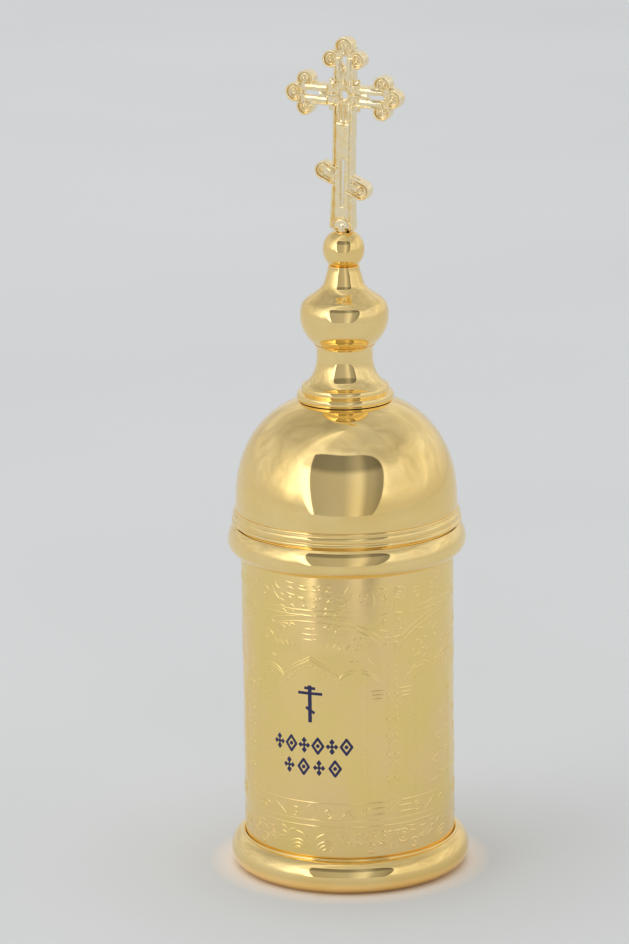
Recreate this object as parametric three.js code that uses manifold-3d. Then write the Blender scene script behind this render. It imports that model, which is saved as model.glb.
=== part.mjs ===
// Chrism vessel: a gilt brass case with a lift-off domed lid, a turned finial and a cast openwork
// cross. The case holds a glass vial whose stopper carries an anointing rod.
// Millimetres, +Z up, origin at the centre of the foot. The front faces -Y.
import * as THREE from "three";
import { mergeVertices } from "three/addons/utils/BufferGeometryUtils.js";
import Module from "manifold-3d";

const wasm = await Module();
wasm.setup();

// Clearances
const solderGap = 0.05; // between pieces that are soldered or pressed together
const slipGap = 0.25; // between the neck sleeve and the lid that slips over it
const looseGap = 0.3; // around pieces that are set in by hand
const seatGap = 0.15; // between a curved seat and what is clamped on it

// Case
const tubeRadius = 22;
const tubeWall = 0.8;
const tubeHeight = 70.8;
const baseRingReach = 3; // how far the ring stands out of the tube
const baseRingHeight = 7;
const baseRingWidest = 3.3; // height of the widest line above the foot
const baseRingLip = 0.7; // how far the thin lip round the tube reaches onto the ring
const baseRingLipHeight = 0.6;
const footWidth = 1.9; // flat ring that the vessel stands on
const footLip = 1.2; // height of the lip under the base plate
const plateThickness = 0.8;
const plateLedge = 0.9; // how far the lip reaches under the plate
const bodyRingReach = 2.75;
const bodyRingHeight = 6.6;
const bodyRingWidest = 3.2; // height of the widest line above the ring's lower edge
const bodyRingCrown = 4.3; // half height that the upper half of the bead would have if it weren't cut
const bodyRingLip = 0.9; // thickness of the ring over the end of the tube
const bodyRingRoot = 1.5; // how far inside the tube's surface the bead's lower half is centred
const bodyRingCrownRoot = 0.75; // the same for its upper half
const sleeveWall = 0.7;
const sleeveDepth = 14; // length of the sleeve inside the tube
const sleeveRise = 9; // height of the sleeve above the seam
const seatThickness = 2;
const seatRimHeight = 5;
const seatWall = 1.6; // thickness of the seat's rim, between the vial and the tube

// Lid
const rimBeadReach = 1.85; // lower, larger bead of the lid's rim, beyond the tube's surface
const rimBeadHeight = 1.45;
const rimUpperBeadReach = 1.6;
const rimUpperBeadHeight = 1.2;
const rimFilletReach = 1.3; // narrow band between the upper bead and the dome
const rimFilletHeight = 0.75;
const rimFilletEdge = 0.2; // chamfer at the band's top
const rimBeadDepth = 0.45;
const spigotHeight = 1.4;
const domeReach = 1.05; // how far the dome stands out beyond the tube's surface
const domeSkirt = 0.8;
const domeRise = 23.4;
const domeFullness = 2.28; // exponent of the dome's superellipse, where 2 is a true ellipse
const domeWall = 0.9;

// Finial
const footBeadRadius = 10.05;
const footUpperBeadRadius = 9.1;
const footBeadHeight = 1.55;
const footBeadDepth = 0.4; // how far the two beads stand out
const footFlareRadius = 7.1; // radius that the flare bends towards above the beads
const footHeight = 11.63; // from the lower bead's underside to the seam under the bulb
const footWaist = 5.82;
const footWaistDrop = 2.9; // how far the waist lies below the seam
const footTopRadius = 6.4;
const footSweep = 0.45; // how strongly the flare and the waist are drawn upright
const footSeatSteps = 4; // points along the hollow that lies on the dome
const bulbRadius = 9.15;
const bulbWidest = 6; // height of the widest line above the seam
const bulbLowerHalf = 8.2; // half height of the ellipse of the lower half
const bulbShoulder = 4.2; // height of the shoulder above the widest line
const bulbShoulderRadius = 6.7;
const bulbNeckRoot = 2.9; // height of the neck's root above the shoulder
const bulbNeckRootRadius = 4;
const bulbNeckHeight = 3.3; // length of the slim neck above its root
const bulbNeckRadius = 3.25;
const bulbCheekRise = 0.64; // where the curve leaves the widest line, as a share of the rise
const bulbCheekTurn = 0.53; // how far out it is still drawn just under the shoulder
const bulbCheekEnd = 0.18;
const bulbScoopStart = 0.3; // the same for the hollow between shoulder and neck
const bulbScoopTurn = 0.13;
const bulbScoopEnd = 0.53;
const ballRadius = 4.3;
const ballSeatRadius = 2.75; // where the ball is cut flat to sit on the neck
const ballTopRadius = 2.3; // where it is cut flat under the cross
const rodRadius = 1.5;
const rodInBall = 3;
const rodTail = 1; // length of the rod below the nut
const washerRadius = 4;
const washerThickness = 0.6;
const nutFlats = 5.5;
const nutThickness = 2.4;

// Cross
const crossHeight = 40;
const crossHalfSpan = 12.55;
const crossThickness = 2.8;
const crossStandoff = 0.3; // bare length of the tang between the ball and the stem
const crossLean = 1.5; // degrees, towards +X at the top
const stemWidth = 4.25;
const stemFootWidth = 5.2; // the stem widens a little towards its foot
const armWidth = 4.5;
const armHeight = 28; // of the arms' centre line above the foot of the stem
const lobeRadius = 1.95; // outermost lobe of each trefoil
const sideLobeRadius = 1.83;
const sideLobeOffset = 2.72; // from a trefoil's own centre line
const sideLobeInset = 2.4; // from the outermost lobe's centre back along the bar
const slantHeight = 10.45;
const slantAngle = 24.9; // degrees, falling towards +X
const slantHalfLength = 4.5;
const slantRadius = 1.9;
const stemFootRadius = 0.6;
const edgeBevel = 0.3;
const reliefRim = 0.5;
const reliefDepth = 0.4;
const stemFootBand = 3; // plain height of the stem under the sunk panel
const armSlotStart = 4.9; // from the cross's centre
const armSlotEnd = 9;
const armSlotWidth = 1.3;
const topSlotStart = 3.7; // above the arms' centre line
const topSlotEnd = 7.8;
const topSlotWidth = 1.9;
const lowSlotStart = 5.1; // above the foot
const lowSlotEnd = 15;
const lowSlotWidth = 1.5;
const centreHoleRadius = 1.15;
const centreBossRadius = 1.85;
const petalLength = 2.6;
const petalWidth = 1.5;
const pendantLength = 5.3;
const pendantBead = 0.65;
const lobeBossRadius = 0.75;
const rayLength = 4.6; // from the cross's centre to the tip of the leaf in each corner
const rayWidth = 1.3;
const tangRadius = 1.2;
const tangLength = 2.6;

// Vial and stopper
const vialWall = 1.6;
const vialFloor = 2.4;
const vialHeight = 64;
const vialCorner = 2.5;
const vialPush = 0.6; // hollow under the vial's floor
const shoulderHeight = 11;
const neckHeight = 10;
const neckBore = 7.6;
const neckWall = 1.4;
const lipHeight = 3.2;
const lipRadius = 10.4;
const shoulderBend = 0.65; // how far up the shoulder the wall still runs upright
const neckBend = 0.4; // the same downwards from the neck
const capRadius = 9.6;
const capFlange = 1.8;
const capWaist = 4;
const capKnob = 5.6;
const capHeight = 12;
const capEdge = 0.6; // share of the flange's thickness that stands upright
const plugLength = 9;
const plugTaper = 0.4;
const wandRadius = 1.2;
const wandInCap = 3;
const wandInSwab = 4;
const swabRadius = 2.8;
const swabLength = 12;
const swabDrop = 4; // clearance between the swab and the vial's floor
const swabBelly = 0.45; // where the swab is thickest, as a share of its length
const swabThroat = 1.8; // radius where it closes round the rod

// Facets
const bodyFacets = 36;
const innerFacets = 24;
const finialFacets = 24;
const smallFacets = 16;
const domeSteps = 9;
const innerSteps = 5;
const lobeSteps = 8;
const detailSteps = 4;
const ringSteps = 2;
const finialSteps = 4;
const ballSteps = 5;
const vialSteps = 3;
const weldReach = 1e-4;

// Colours and finishes
const giltColor = 0xd9b968;
const corkColor = 0xb98b57;
const feltColor = 0x6d2330;
const cottonColor = 0xf2eee2;
const glassColor = 0xe6f0ee;
const glassOpacity = 0.35;
const polished = 0.06;
const satin = 0.3;
const cast = 0.15;
const dull = 0.9;

// Heights and radii that follow from them
const seatStep = footLip + plateThickness;
const tubeTop = seatStep + tubeHeight;
const seamHeight = tubeTop + bodyRingLip;
const tubeBore = tubeRadius - tubeWall;
const baseRingRadius = tubeRadius + baseRingReach;
const bodyRingRadius = tubeRadius + bodyRingReach;
const rimBeadRadius = tubeRadius + rimBeadReach;
const rimUpperBeadRadius = tubeRadius + rimUpperBeadReach;
const rimFilletRadius = tubeRadius + rimFilletReach;
const rimHeight = rimBeadHeight + rimUpperBeadHeight + rimFilletHeight;
const domeRadius = tubeRadius + domeReach;
const seatRadius = tubeBore - looseGap;
const vialRadius = seatRadius - seatWall - looseGap;
const sleeveRadius = tubeBore - solderGap;
const sleeveBore = sleeveRadius - sleeveWall;
const plateRadius = tubeBore - solderGap;
const lidBore = sleeveRadius + slipGap;
const domeTop = rimHeight + domeSkirt + domeRise;
const armEnd = crossHalfSpan - lobeRadius;
const topEnd = crossHeight - lobeRadius;
const vialFoot = seatStep + seatThickness;

// Solids

function turned(path, steps, facets) {
  const geometry = new THREE.LatheGeometry(path.getPoints(steps), facets);
  return geometry.rotateX(Math.PI / 2);
}

function solidOf(geometry) {
  const bare = geometry.clone();
  bare.deleteAttribute("normal");
  bare.deleteAttribute("uv");
  const merged = mergeVertices(bare, weldReach);
  const vertProperties = merged.getAttribute("position").array;
  const triVerts = new Uint32Array(merged.index.array);
  return new wasm.Manifold(new wasm.Mesh({ numProp: 3, vertProperties, triVerts }));
}

function geometryOf(solid) {
  const { vertProperties, triVerts } = solid.getMesh();
  const geometry = new THREE.BufferGeometry();
  geometry.setAttribute("position", new THREE.BufferAttribute(vertProperties, 3));
  geometry.setIndex(new THREE.BufferAttribute(triVerts, 1));
  const flat = geometry.toNonIndexed();
  flat.computeVertexNormals();
  return flat;
}

function joined(solids) {
  return solids.reduce((sum, solid) => sum.add(solid));
}

// Flat shapes of the cross, in its own plane: x to the right, y up from the foot of the stem

function discShape(x, y, radius) {
  const shape = new THREE.Shape();
  shape.absarc(x, y, radius, 0, 2 * Math.PI, false);
  return shape;
}

function barShape(left, right, bottom, top) {
  const shape = new THREE.Shape();
  shape.moveTo(left, bottom);
  shape.lineTo(right, bottom);
  shape.lineTo(right, top);
  shape.lineTo(left, top);
  shape.closePath();
  return shape;
}

// The upright of the cross, from a height up to its topmost lobe
function stemShape(margin, bottom) {
  const half = stemWidth / 2 - margin;
  const footHalf = stemFootWidth / 2 - margin;
  const shape = new THREE.Shape();
  shape.moveTo(-footHalf, bottom);
  shape.lineTo(footHalf, bottom);
  shape.lineTo(half, slantHeight);
  shape.lineTo(half, topEnd);
  shape.lineTo(-half, topEnd);
  shape.lineTo(-half, slantHeight);
  shape.closePath();
  return shape;
}

// A bar with round ends, from one end's centre to the other's
function roundBarShape(x1, y1, x2, y2, radius) {
  const along = Math.atan2(y2 - y1, x2 - x1);
  const quarter = Math.PI / 2;
  const shape = new THREE.Shape();
  shape.absarc(x2, y2, radius, along - quarter, along + quarter, false);
  shape.absarc(x1, y1, radius, along + quarter, along + 3 * quarter, false);
  shape.closePath();
  return shape;
}

// A pointed leaf from one point to another
function leafShape(x1, y1, x2, y2, width) {
  const along = new THREE.Vector2(x2 - x1, y2 - y1);
  const side = new THREE.Vector2(-along.y, along.x).setLength(width);
  const middle = new THREE.Vector2(x1, y1).addScaledVector(along, 0.5);
  const shape = new THREE.Shape();
  shape.moveTo(x1, y1);
  shape.quadraticCurveTo(middle.x - side.x, middle.y - side.y, x2, y2);
  shape.quadraticCurveTo(middle.x + side.x, middle.y + side.y, x1, y1);
  return shape;
}

// A flat shape made solid from one depth to another, front towards +z
function plate(shape, back, front, bevel, steps) {
  const geometry = new THREE.ExtrudeGeometry(shape, {
    depth: front - back - 2 * bevel,
    curveSegments: steps,
    bevelEnabled: bevel > 0,
    bevelThickness: bevel,
    bevelSize: bevel,
    bevelOffset: -bevel,
    bevelSegments: 1,
  });
  return solidOf(geometry.translate(0, 0, back + bevel));
}

// The bars of the cross, drawn in from their edges by a margin
function crossBars(margin, foot) {
  const armHalf = armWidth / 2 - margin;
  const slant = THREE.MathUtils.degToRad(slantAngle);
  const slantX = slantHalfLength * Math.cos(slant);
  const slantY = slantHalfLength * Math.sin(slant);
  return [
    stemShape(margin, foot),
    barShape(-armEnd, armEnd, armHeight - armHalf, armHeight + armHalf),
    roundBarShape(-slantX, slantHeight + slantY, slantX, slantHeight - slantY, slantRadius - margin),
  ];
}

// The nine lobes of its trefoils, drawn in the same way
function crossLobes(margin) {
  return [
    ...trefoilLobes(0).map(([x, y]) => discShape(x, y, lobeRadius - margin)),
    ...trefoilLobes(1).map(([x, y]) => discShape(x, y, sideLobeRadius - margin)),
  ];
}

// Centres of the three outermost lobes, or of the six side lobes
function trefoilLobes(ring) {
  const inset = ring * sideLobeInset;
  const offsets = ring ? [-sideLobeOffset, sideLobeOffset] : [0];
  return offsets.flatMap((offset) => [
    [armEnd - inset, armHeight + offset],
    [inset - armEnd, armHeight + offset],
    [offset, topEnd - inset],
  ]);
}

// The openings that go right through the cross
function crossOpenings() {
  const slot = armSlotWidth / 2;
  const low = lowSlotWidth / 2;
  const top = topSlotWidth / 2;
  const point = armHeight + topSlotStart;
  const round = armHeight + topSlotEnd - top;
  const topSlot = new THREE.Shape();
  topSlot.moveTo(0, point);
  topSlot.lineTo(top, point + 2 * top);
  topSlot.absarc(0, round, top, 0, Math.PI, false);
  topSlot.lineTo(-top, point + 2 * top);
  topSlot.closePath();
  return [
    roundBarShape(armSlotStart + slot, armHeight, armSlotEnd - slot, armHeight, slot),
    roundBarShape(slot - armSlotEnd, armHeight, -armSlotStart - slot, armHeight, slot),
    roundBarShape(0, lowSlotStart + low, 0, lowSlotEnd - low, low),
    topSlot,
    discShape(0, armHeight, centreHoleRadius),
  ];
}

// The raised ornament: a flower at the centre, a pendant below it, and a boss in each lobe
function crossRelief() {
  const start = centreBossRadius - petalWidth / 2;
  const end = start + petalLength;
  const pendantEnd = armHeight - pendantLength - pendantBead;
  const shapes = [
    discShape(0, armHeight, centreBossRadius),
    leafShape(start, armHeight, end, armHeight, petalWidth / 2),
    leafShape(-end, armHeight, -start, armHeight, petalWidth / 2),
    leafShape(0, armHeight + start, 0, armHeight + end, petalWidth / 2),
    leafShape(0, armHeight - start, 0, pendantEnd, petalWidth / 2),
    discShape(0, pendantEnd, pendantBead),
  ];
  for (const [x, y] of [...trefoilLobes(0), ...trefoilLobes(1)]) {
    shapes.push(discShape(x, y, lobeBossRadius));
  }
  return shapes;
}

// The leaves that stand between the bars, close to the cross's centre
function rayShapes() {
  const reach = (rayLength - rayWidth / 2) * Math.SQRT1_2;
  return [-1, 1].flatMap((x) =>
    [-1, 1].map((y) =>
      roundBarShape(0, armHeight, x * reach, armHeight + y * reach, rayWidth / 2),
    ),
  );
}

function crossGeometry() {
  const face = crossThickness / 2;
  const floor = face - reliefDepth;
  const plain = stemFootRadius;
  const edged = (shape, steps) => plate(shape, -face, face, edgeBevel, steps);
  const body = [
    ...crossBars(0, plain).map((shape) => edged(shape, detailSteps)),
    ...crossLobes(0).map((shape) => edged(shape, lobeSteps)),
  ];
  const footReach = stemFootWidth / 2 - plain;
  const foot = roundBarShape(-footReach, plain, footReach, plain, stemFootRadius);
  body.push(edged(foot, detailSteps));
  for (const shape of rayShapes()) body.push(plate(shape, -floor, floor, 0, detailSteps));
  let solid = joined(body);
  const sunk = (shape, steps) => plate(shape, floor, 2 * face, 0, steps);
  const panel = joined([
    ...crossBars(reliefRim, stemFootBand).map((shape) => sunk(shape, detailSteps)),
    ...crossLobes(reliefRim).map((shape) => sunk(shape, lobeSteps)),
  ]);
  const relief = joined(crossRelief().map((shape) => plate(shape, 0, face, 0, detailSteps)));
  const openings = joined(
    crossOpenings().map((shape) => plate(shape, -2 * face, 2 * face, 0, detailSteps)),
  );
  solid = solid.subtract(panel.subtract(relief)).subtract(openings);
  const tangBottom = -crossStandoff - tangLength;
  const tang = new THREE.CylinderGeometry(tangRadius, tangRadius, plain - tangBottom, smallFacets);
  tang.translate(0, (plain + tangBottom) / 2, 0);
  return geometryOf(solid.add(solidOf(tang))).rotateX(Math.PI / 2);
}

// Case

function tubeGeometry() {
  const path = new THREE.Path();
  path.moveTo(tubeBore, seatStep);
  path.lineTo(tubeRadius, seatStep);
  path.lineTo(tubeRadius, tubeTop);
  path.lineTo(tubeBore, tubeTop);
  path.lineTo(tubeBore, seatStep);
  return turned(path, 1, bodyFacets);
}

function baseRingGeometry() {
  const footInner = tubeRadius - footWidth;
  const quarter = Math.PI / 2;
  const crown = baseRingHeight - baseRingWidest;
  const socket = tubeRadius + solderGap;
  const bore = plateRadius + solderGap;
  const end = Math.acos(baseRingLip / baseRingReach);
  const crease = baseRingWidest + crown * Math.sin(end);
  const path = new THREE.Path();
  path.moveTo(footInner, 0);
  path.lineTo(tubeRadius, 0);
  path.absellipse(tubeRadius, baseRingWidest, baseRingReach, baseRingWidest, -quarter, 0, false);
  path.absellipse(tubeRadius, baseRingWidest, baseRingReach, crown, 0, end, false);
  path.quadraticCurveTo(
    tubeRadius + baseRingLip, crease + baseRingLipHeight, socket, crease + baseRingLipHeight,
  );
  path.lineTo(socket, seatStep);
  path.lineTo(bore, seatStep);
  path.lineTo(bore, footLip);
  path.lineTo(bore - plateLedge, footLip);
  path.lineTo(footInner, 0);
  return turned(path, ringSteps, bodyFacets);
}

function basePlateGeometry() {
  const geometry = new THREE.CylinderGeometry(plateRadius, plateRadius, plateThickness, bodyFacets);
  return geometry.rotateX(Math.PI / 2).translate(0, 0, footLip + plateThickness / 2);
}

function bodyRingGeometry() {
  const bottom = seamHeight - bodyRingHeight;
  const widest = bottom + bodyRingWidest;
  const root = tubeRadius - bodyRingRoot;
  const crownRoot = tubeRadius - bodyRingCrownRoot;
  const reach = bodyRingRadius - root;
  const socket = tubeRadius + solderGap;
  const start = Math.acos((socket - root) / reach);
  const end = Math.asin((seamHeight - widest) / bodyRingCrown);
  const path = new THREE.Path();
  path.moveTo(socket, widest - bodyRingWidest * Math.sin(start));
  path.absellipse(root, widest, reach, bodyRingWidest, -start, 0, false);
  path.absellipse(crownRoot, widest, bodyRingRadius - crownRoot, bodyRingCrown, 0, end, false);
  path.lineTo(sleeveRadius + solderGap, seamHeight);
  path.lineTo(sleeveRadius + solderGap, tubeTop);
  path.lineTo(socket, tubeTop);
  path.closePath();
  return turned(path, ringSteps, bodyFacets);
}

function neckSleeveGeometry() {
  const bottom = tubeTop - sleeveDepth;
  const top = seamHeight + sleeveRise;
  const path = new THREE.Path();
  path.moveTo(sleeveBore, bottom);
  path.lineTo(sleeveRadius, bottom);
  path.lineTo(sleeveRadius, top - sleeveWall);
  path.lineTo(sleeveRadius - sleeveWall / 2, top);
  path.lineTo(sleeveBore, top);
  path.lineTo(sleeveBore, bottom);
  return turned(path, 1, bodyFacets);
}

function vialSeatGeometry() {
  const inner = seatRadius - seatWall;
  const path = new THREE.Path();
  path.moveTo(0, 0);
  path.lineTo(seatRadius, 0);
  path.lineTo(seatRadius, seatThickness + seatRimHeight);
  path.lineTo(inner, seatThickness + seatRimHeight);
  path.lineTo(inner, seatThickness);
  path.lineTo(0, seatThickness);
  return turned(path, 1, innerFacets);
}

// Lid, in its own frame with z = 0 at the seam

// Height of a superellipse dome above its spring line, at a radius
function domeHeight(radius, r, rise) {
  return rise * (1 - (r / radius) ** domeFullness) ** (1 / domeFullness);
}

// Points of the dome from the spring line towards the crown, evenly turned
function domePoints(radius, rise, spring, hole, steps) {
  const last = Math.acos((hole / radius) ** (domeFullness / 2));
  return Array.from({ length: steps + 1 }, (_, i) => {
    const angle = (last * i) / steps;
    const r = radius * Math.cos(angle) ** (2 / domeFullness);
    return new THREE.Vector2(r, spring + domeHeight(radius, r, rise));
  });
}

function lidRimGeometry() {
  const quarter = Math.PI / 2;
  const spigot = domeRadius - domeWall - seatGap;
  const middle = rimBeadHeight + rimUpperBeadHeight / 2;
  const path = new THREE.Path();
  path.moveTo(lidBore, 0);
  path.lineTo(rimBeadRadius - rimBeadDepth, 0);
  path.absellipse(
    rimBeadRadius - rimBeadDepth, rimBeadHeight / 2,
    rimBeadDepth, rimBeadHeight / 2, -quarter, quarter, false,
  );
  path.absellipse(
    rimUpperBeadRadius - rimBeadDepth, middle,
    rimBeadDepth, rimUpperBeadHeight / 2, -quarter, quarter, false,
  );
  path.lineTo(rimFilletRadius, rimHeight - rimFilletHeight + rimFilletEdge);
  path.lineTo(rimFilletRadius, rimHeight - rimFilletEdge);
  path.lineTo(rimFilletRadius - rimFilletEdge, rimHeight);
  path.lineTo(spigot, rimHeight);
  path.lineTo(spigot, rimHeight + spigotHeight);
  path.lineTo(lidBore, rimHeight + spigotHeight);
  path.lineTo(lidBore, 0);
  return turned(path, ringSteps, bodyFacets);
}

function domeGeometry() {
  const spring = rimHeight + domeSkirt;
  const hole = rodRadius + looseGap;
  const inner = domeRadius - domeWall;
  const outside = domePoints(domeRadius, domeRise, spring, hole, domeSteps);
  const inside = domePoints(inner, domeRise - domeWall, spring, hole, innerSteps);
  const path = new THREE.Path();
  path.moveTo(inner, rimHeight);
  path.lineTo(domeRadius, rimHeight);
  for (const point of [...outside, ...inside.reverse()]) path.lineTo(point.x, point.y);
  path.lineTo(inner, rimHeight);
  return turned(path, 1, bodyFacets);
}

// Finial, in its own frame with z = 0 at the crown of the dome

const footSeatRadius = footBeadRadius - footBeadDepth;
const footDrop = domeRise - domeHeight(domeRadius, footSeatRadius, domeRise) - seatGap;
const footTop = footHeight - footDrop;
const bulbTop = footTop + bulbWidest + bulbShoulder + bulbNeckRoot + bulbNeckHeight;
const ballCentre = bulbTop + Math.sqrt(ballRadius ** 2 - ballSeatRadius ** 2);
const ballTop = ballCentre + Math.sqrt(ballRadius ** 2 - ballTopRadius ** 2);
const rodHole = rodRadius + solderGap;

function finialFootGeometry() {
  const quarter = Math.PI / 2;
  const bead = footBeadHeight / 2;
  const depth = footBeadDepth;
  const bottom = -footDrop;
  const flare = bottom + 2 * footBeadHeight;
  const waist = footTop - footWaistDrop;
  const path = new THREE.Path();
  path.moveTo(rodHole, seatGap);
  for (let step = 1; step <= footSeatSteps; step += 1) {
    const r = (footSeatRadius * step) / footSeatSteps;
    path.lineTo(Math.max(r, rodHole), domeHeight(domeRadius, r, domeRise) - domeRise + seatGap);
  }
  path.absellipse(footSeatRadius, bottom + bead, depth, bead, -quarter, quarter, false);
  path.absellipse(
    footUpperBeadRadius - depth, bottom + 3 * bead, depth, bead, -quarter, quarter, false,
  );
  path.bezierCurveTo(
    footFlareRadius, flare + bead,
    footWaist, waist - (waist - flare) * footSweep,
    footWaist, waist,
  );
  path.bezierCurveTo(
    footWaist, waist + footWaistDrop * footSweep,
    footTopRadius - bead, footTop - bead,
    footTopRadius, footTop,
  );
  path.lineTo(rodHole, footTop);
  path.lineTo(rodHole, seatGap);
  return turned(path, finialSteps, finialFacets);
}

function finialBulbGeometry() {
  const widest = footTop + bulbWidest;
  const shoulder = widest + bulbShoulder;
  const root = shoulder + bulbNeckRoot;
  const start = Math.asin(bulbWidest / bulbLowerHalf);
  const path = new THREE.Path();
  path.moveTo(rodHole, footTop);
  path.lineTo(bulbRadius * Math.cos(start), footTop);
  path.absellipse(0, widest, bulbRadius, bulbLowerHalf, -start, 0, false);
  const cheek = bulbRadius - bulbShoulderRadius;
  const scoop = bulbShoulderRadius - bulbNeckRootRadius;
  path.bezierCurveTo(
    bulbRadius, widest + bulbShoulder * bulbCheekRise,
    bulbShoulderRadius + cheek * bulbCheekTurn, shoulder - bulbShoulder * bulbCheekEnd,
    bulbShoulderRadius, shoulder,
  );
  path.bezierCurveTo(
    bulbNeckRootRadius + scoop / 2, shoulder + bulbNeckRoot * bulbScoopStart,
    bulbNeckRootRadius + scoop * bulbScoopTurn, shoulder + bulbNeckRoot * bulbScoopEnd,
    bulbNeckRootRadius, root,
  );
  path.quadraticCurveTo(bulbNeckRadius, root + bulbNeckHeight / 2, bulbNeckRadius, bulbTop);
  path.lineTo(rodHole, bulbTop);
  path.lineTo(rodHole, footTop);
  return turned(path, finialSteps, finialFacets);
}

function finialBallGeometry() {
  const start = Math.acos(ballSeatRadius / ballRadius);
  const end = Math.acos(ballTopRadius / ballRadius);
  const tangHole = tangRadius + looseGap;
  const tangPocket = ballTop - tangLength - looseGap;
  const path = new THREE.Path();
  path.moveTo(rodHole, bulbTop);
  path.lineTo(ballSeatRadius, bulbTop);
  path.absarc(0, ballCentre, ballRadius, -start, end, false);
  path.lineTo(tangHole, ballTop);
  path.lineTo(tangHole, tangPocket);
  path.lineTo(0, tangPocket);
  path.lineTo(0, bulbTop + rodInBall);
  path.lineTo(rodHole, bulbTop + rodInBall);
  path.lineTo(rodHole, bulbTop);
  return turned(path, ballSteps, finialFacets);
}

const insideDrop = domeRise + looseGap
  - domeHeight(domeRadius - domeWall, washerRadius, domeRise - domeWall);
const washerBottom = -insideDrop - washerThickness;
const rodBottom = washerBottom - nutThickness - rodTail;

function tieRodGeometry() {
  const length = bulbTop + rodInBall - solderGap - rodBottom;
  const geometry = new THREE.CylinderGeometry(rodRadius, rodRadius, length, smallFacets);
  return geometry.rotateX(Math.PI / 2).translate(0, 0, rodBottom + length / 2);
}

function washerGeometry() {
  const path = new THREE.Path();
  path.moveTo(rodHole, washerBottom);
  path.lineTo(washerRadius, washerBottom);
  path.lineTo(washerRadius, -insideDrop);
  path.lineTo(rodHole, -insideDrop);
  path.lineTo(rodHole, washerBottom);
  return turned(path, 1, smallFacets);
}

function nutGeometry() {
  const corner = nutFlats / Math.sqrt(3);
  const shape = new THREE.Shape();
  for (let side = 0; side < 6; side += 1) {
    const angle = (Math.PI / 3) * side;
    const point = [corner * Math.cos(angle), corner * Math.sin(angle)];
    if (side) shape.lineTo(...point);
    else shape.moveTo(...point);
  }
  shape.closePath();
  const hole = new THREE.Path();
  hole.absarc(0, 0, rodHole, 0, 2 * Math.PI, true);
  shape.holes.push(hole);
  const settings = { depth: nutThickness, bevelEnabled: false, curveSegments: smallFacets / 2 };
  const geometry = new THREE.ExtrudeGeometry(shape, settings);
  return geometry.translate(0, 0, washerBottom - nutThickness);
}

// Vial, in its own frame with z = 0 at its foot

function vialGeometry() {
  const neckRadius = neckBore + neckWall;
  const inner = vialRadius - vialWall;
  const lip = vialHeight - lipHeight;
  const neck = vialHeight - neckHeight;
  const shoulder = neck - shoulderHeight;
  const quarter = Math.PI / 2;
  const innerCorner = vialCorner - vialWall / 2;
  const path = new THREE.Path();
  path.moveTo(0, vialPush);
  path.lineTo(vialRadius - 2 * vialCorner, 0);
  path.lineTo(vialRadius - vialCorner, 0);
  path.absarc(vialRadius - vialCorner, vialCorner, vialCorner, -quarter, 0, false);
  path.lineTo(vialRadius, shoulder);
  const bend = shoulder + shoulderHeight * shoulderBend;
  const turn = neck - shoulderHeight * neckBend;
  path.bezierCurveTo(vialRadius, bend, neckRadius, turn, neckRadius, neck);
  path.lineTo(neckRadius, lip);
  path.lineTo(lipRadius, lip);
  path.lineTo(lipRadius, vialHeight);
  path.lineTo(neckBore, vialHeight);
  path.lineTo(neckBore, neck);
  path.bezierCurveTo(neckBore, turn - vialWall, inner, bend - vialWall, inner, shoulder);
  path.lineTo(inner, vialFloor + innerCorner);
  path.absarc(inner - innerCorner, vialFloor + innerCorner, innerCorner, 0, -quarter, true);
  path.lineTo(0, vialFloor);
  return turned(path, vialSteps, innerFacets);
}

// Stopper, in its own frame with z = 0 where its flange rests on the vial's lip

const wandTop = wandInCap;
const swabBottom = vialFloor + swabDrop - vialHeight;
const swabTop = swabBottom + swabLength;

function stopperCapGeometry() {
  const hole = wandRadius + solderGap;
  const knob = capHeight - capKnob;
  const path = new THREE.Path();
  path.moveTo(hole, 0);
  path.lineTo(capRadius, 0);
  path.lineTo(capRadius, capFlange * capEdge);
  path.lineTo(capRadius - capFlange * (1 - capEdge), capFlange);
  path.quadraticCurveTo(capWaist, capFlange, capWaist, (capFlange + knob) / 2);
  path.quadraticCurveTo(capWaist, knob, capKnob, (knob + capHeight) / 2);
  path.quadraticCurveTo(capKnob, capHeight, 0, capHeight);
  path.lineTo(0, wandTop + solderGap);
  path.lineTo(hole, wandTop + solderGap);
  path.lineTo(hole, 0);
  return turned(path, vialSteps, innerFacets);
}

function stopperPlugGeometry() {
  const hole = wandRadius + solderGap;
  const radius = neckBore - looseGap;
  const path = new THREE.Path();
  path.moveTo(hole, -plugLength);
  path.lineTo(radius - plugTaper, -plugLength);
  path.lineTo(radius, 0);
  path.lineTo(hole, 0);
  path.lineTo(hole, -plugLength);
  return turned(path, 1, innerFacets);
}

function wandGeometry() {
  const bottom = swabTop - wandInSwab;
  const length = wandTop - bottom;
  const geometry = new THREE.CylinderGeometry(wandRadius, wandRadius, length, smallFacets);
  return geometry.rotateX(Math.PI / 2).translate(0, 0, bottom + length / 2);
}

function swabGeometry() {
  const hole = wandRadius + solderGap;
  const pocket = swabTop - wandInSwab - solderGap;
  const path = new THREE.Path();
  path.moveTo(0, swabBottom);
  path.quadraticCurveTo(
    swabRadius, swabBottom, swabRadius, swabBottom + swabLength * swabBelly,
  );
  path.quadraticCurveTo(swabRadius, swabTop, swabThroat, swabTop);
  path.lineTo(hole, swabTop);
  path.lineTo(hole, pocket);
  path.lineTo(0, pocket);
  return turned(path, finialSteps, smallFacets);
}

// Materials

function gilt(roughness) {
  return new THREE.MeshStandardMaterial({ color: giltColor, roughness, metalness: 1 });
}

function plain(color, roughness) {
  return new THREE.MeshStandardMaterial({ color, roughness, metalness: 0 });
}

function piece(name, geometry, material) {
  const mesh = new THREE.Mesh(geometry, material);
  mesh.name = name;
  return mesh;
}

// Assembly

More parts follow.
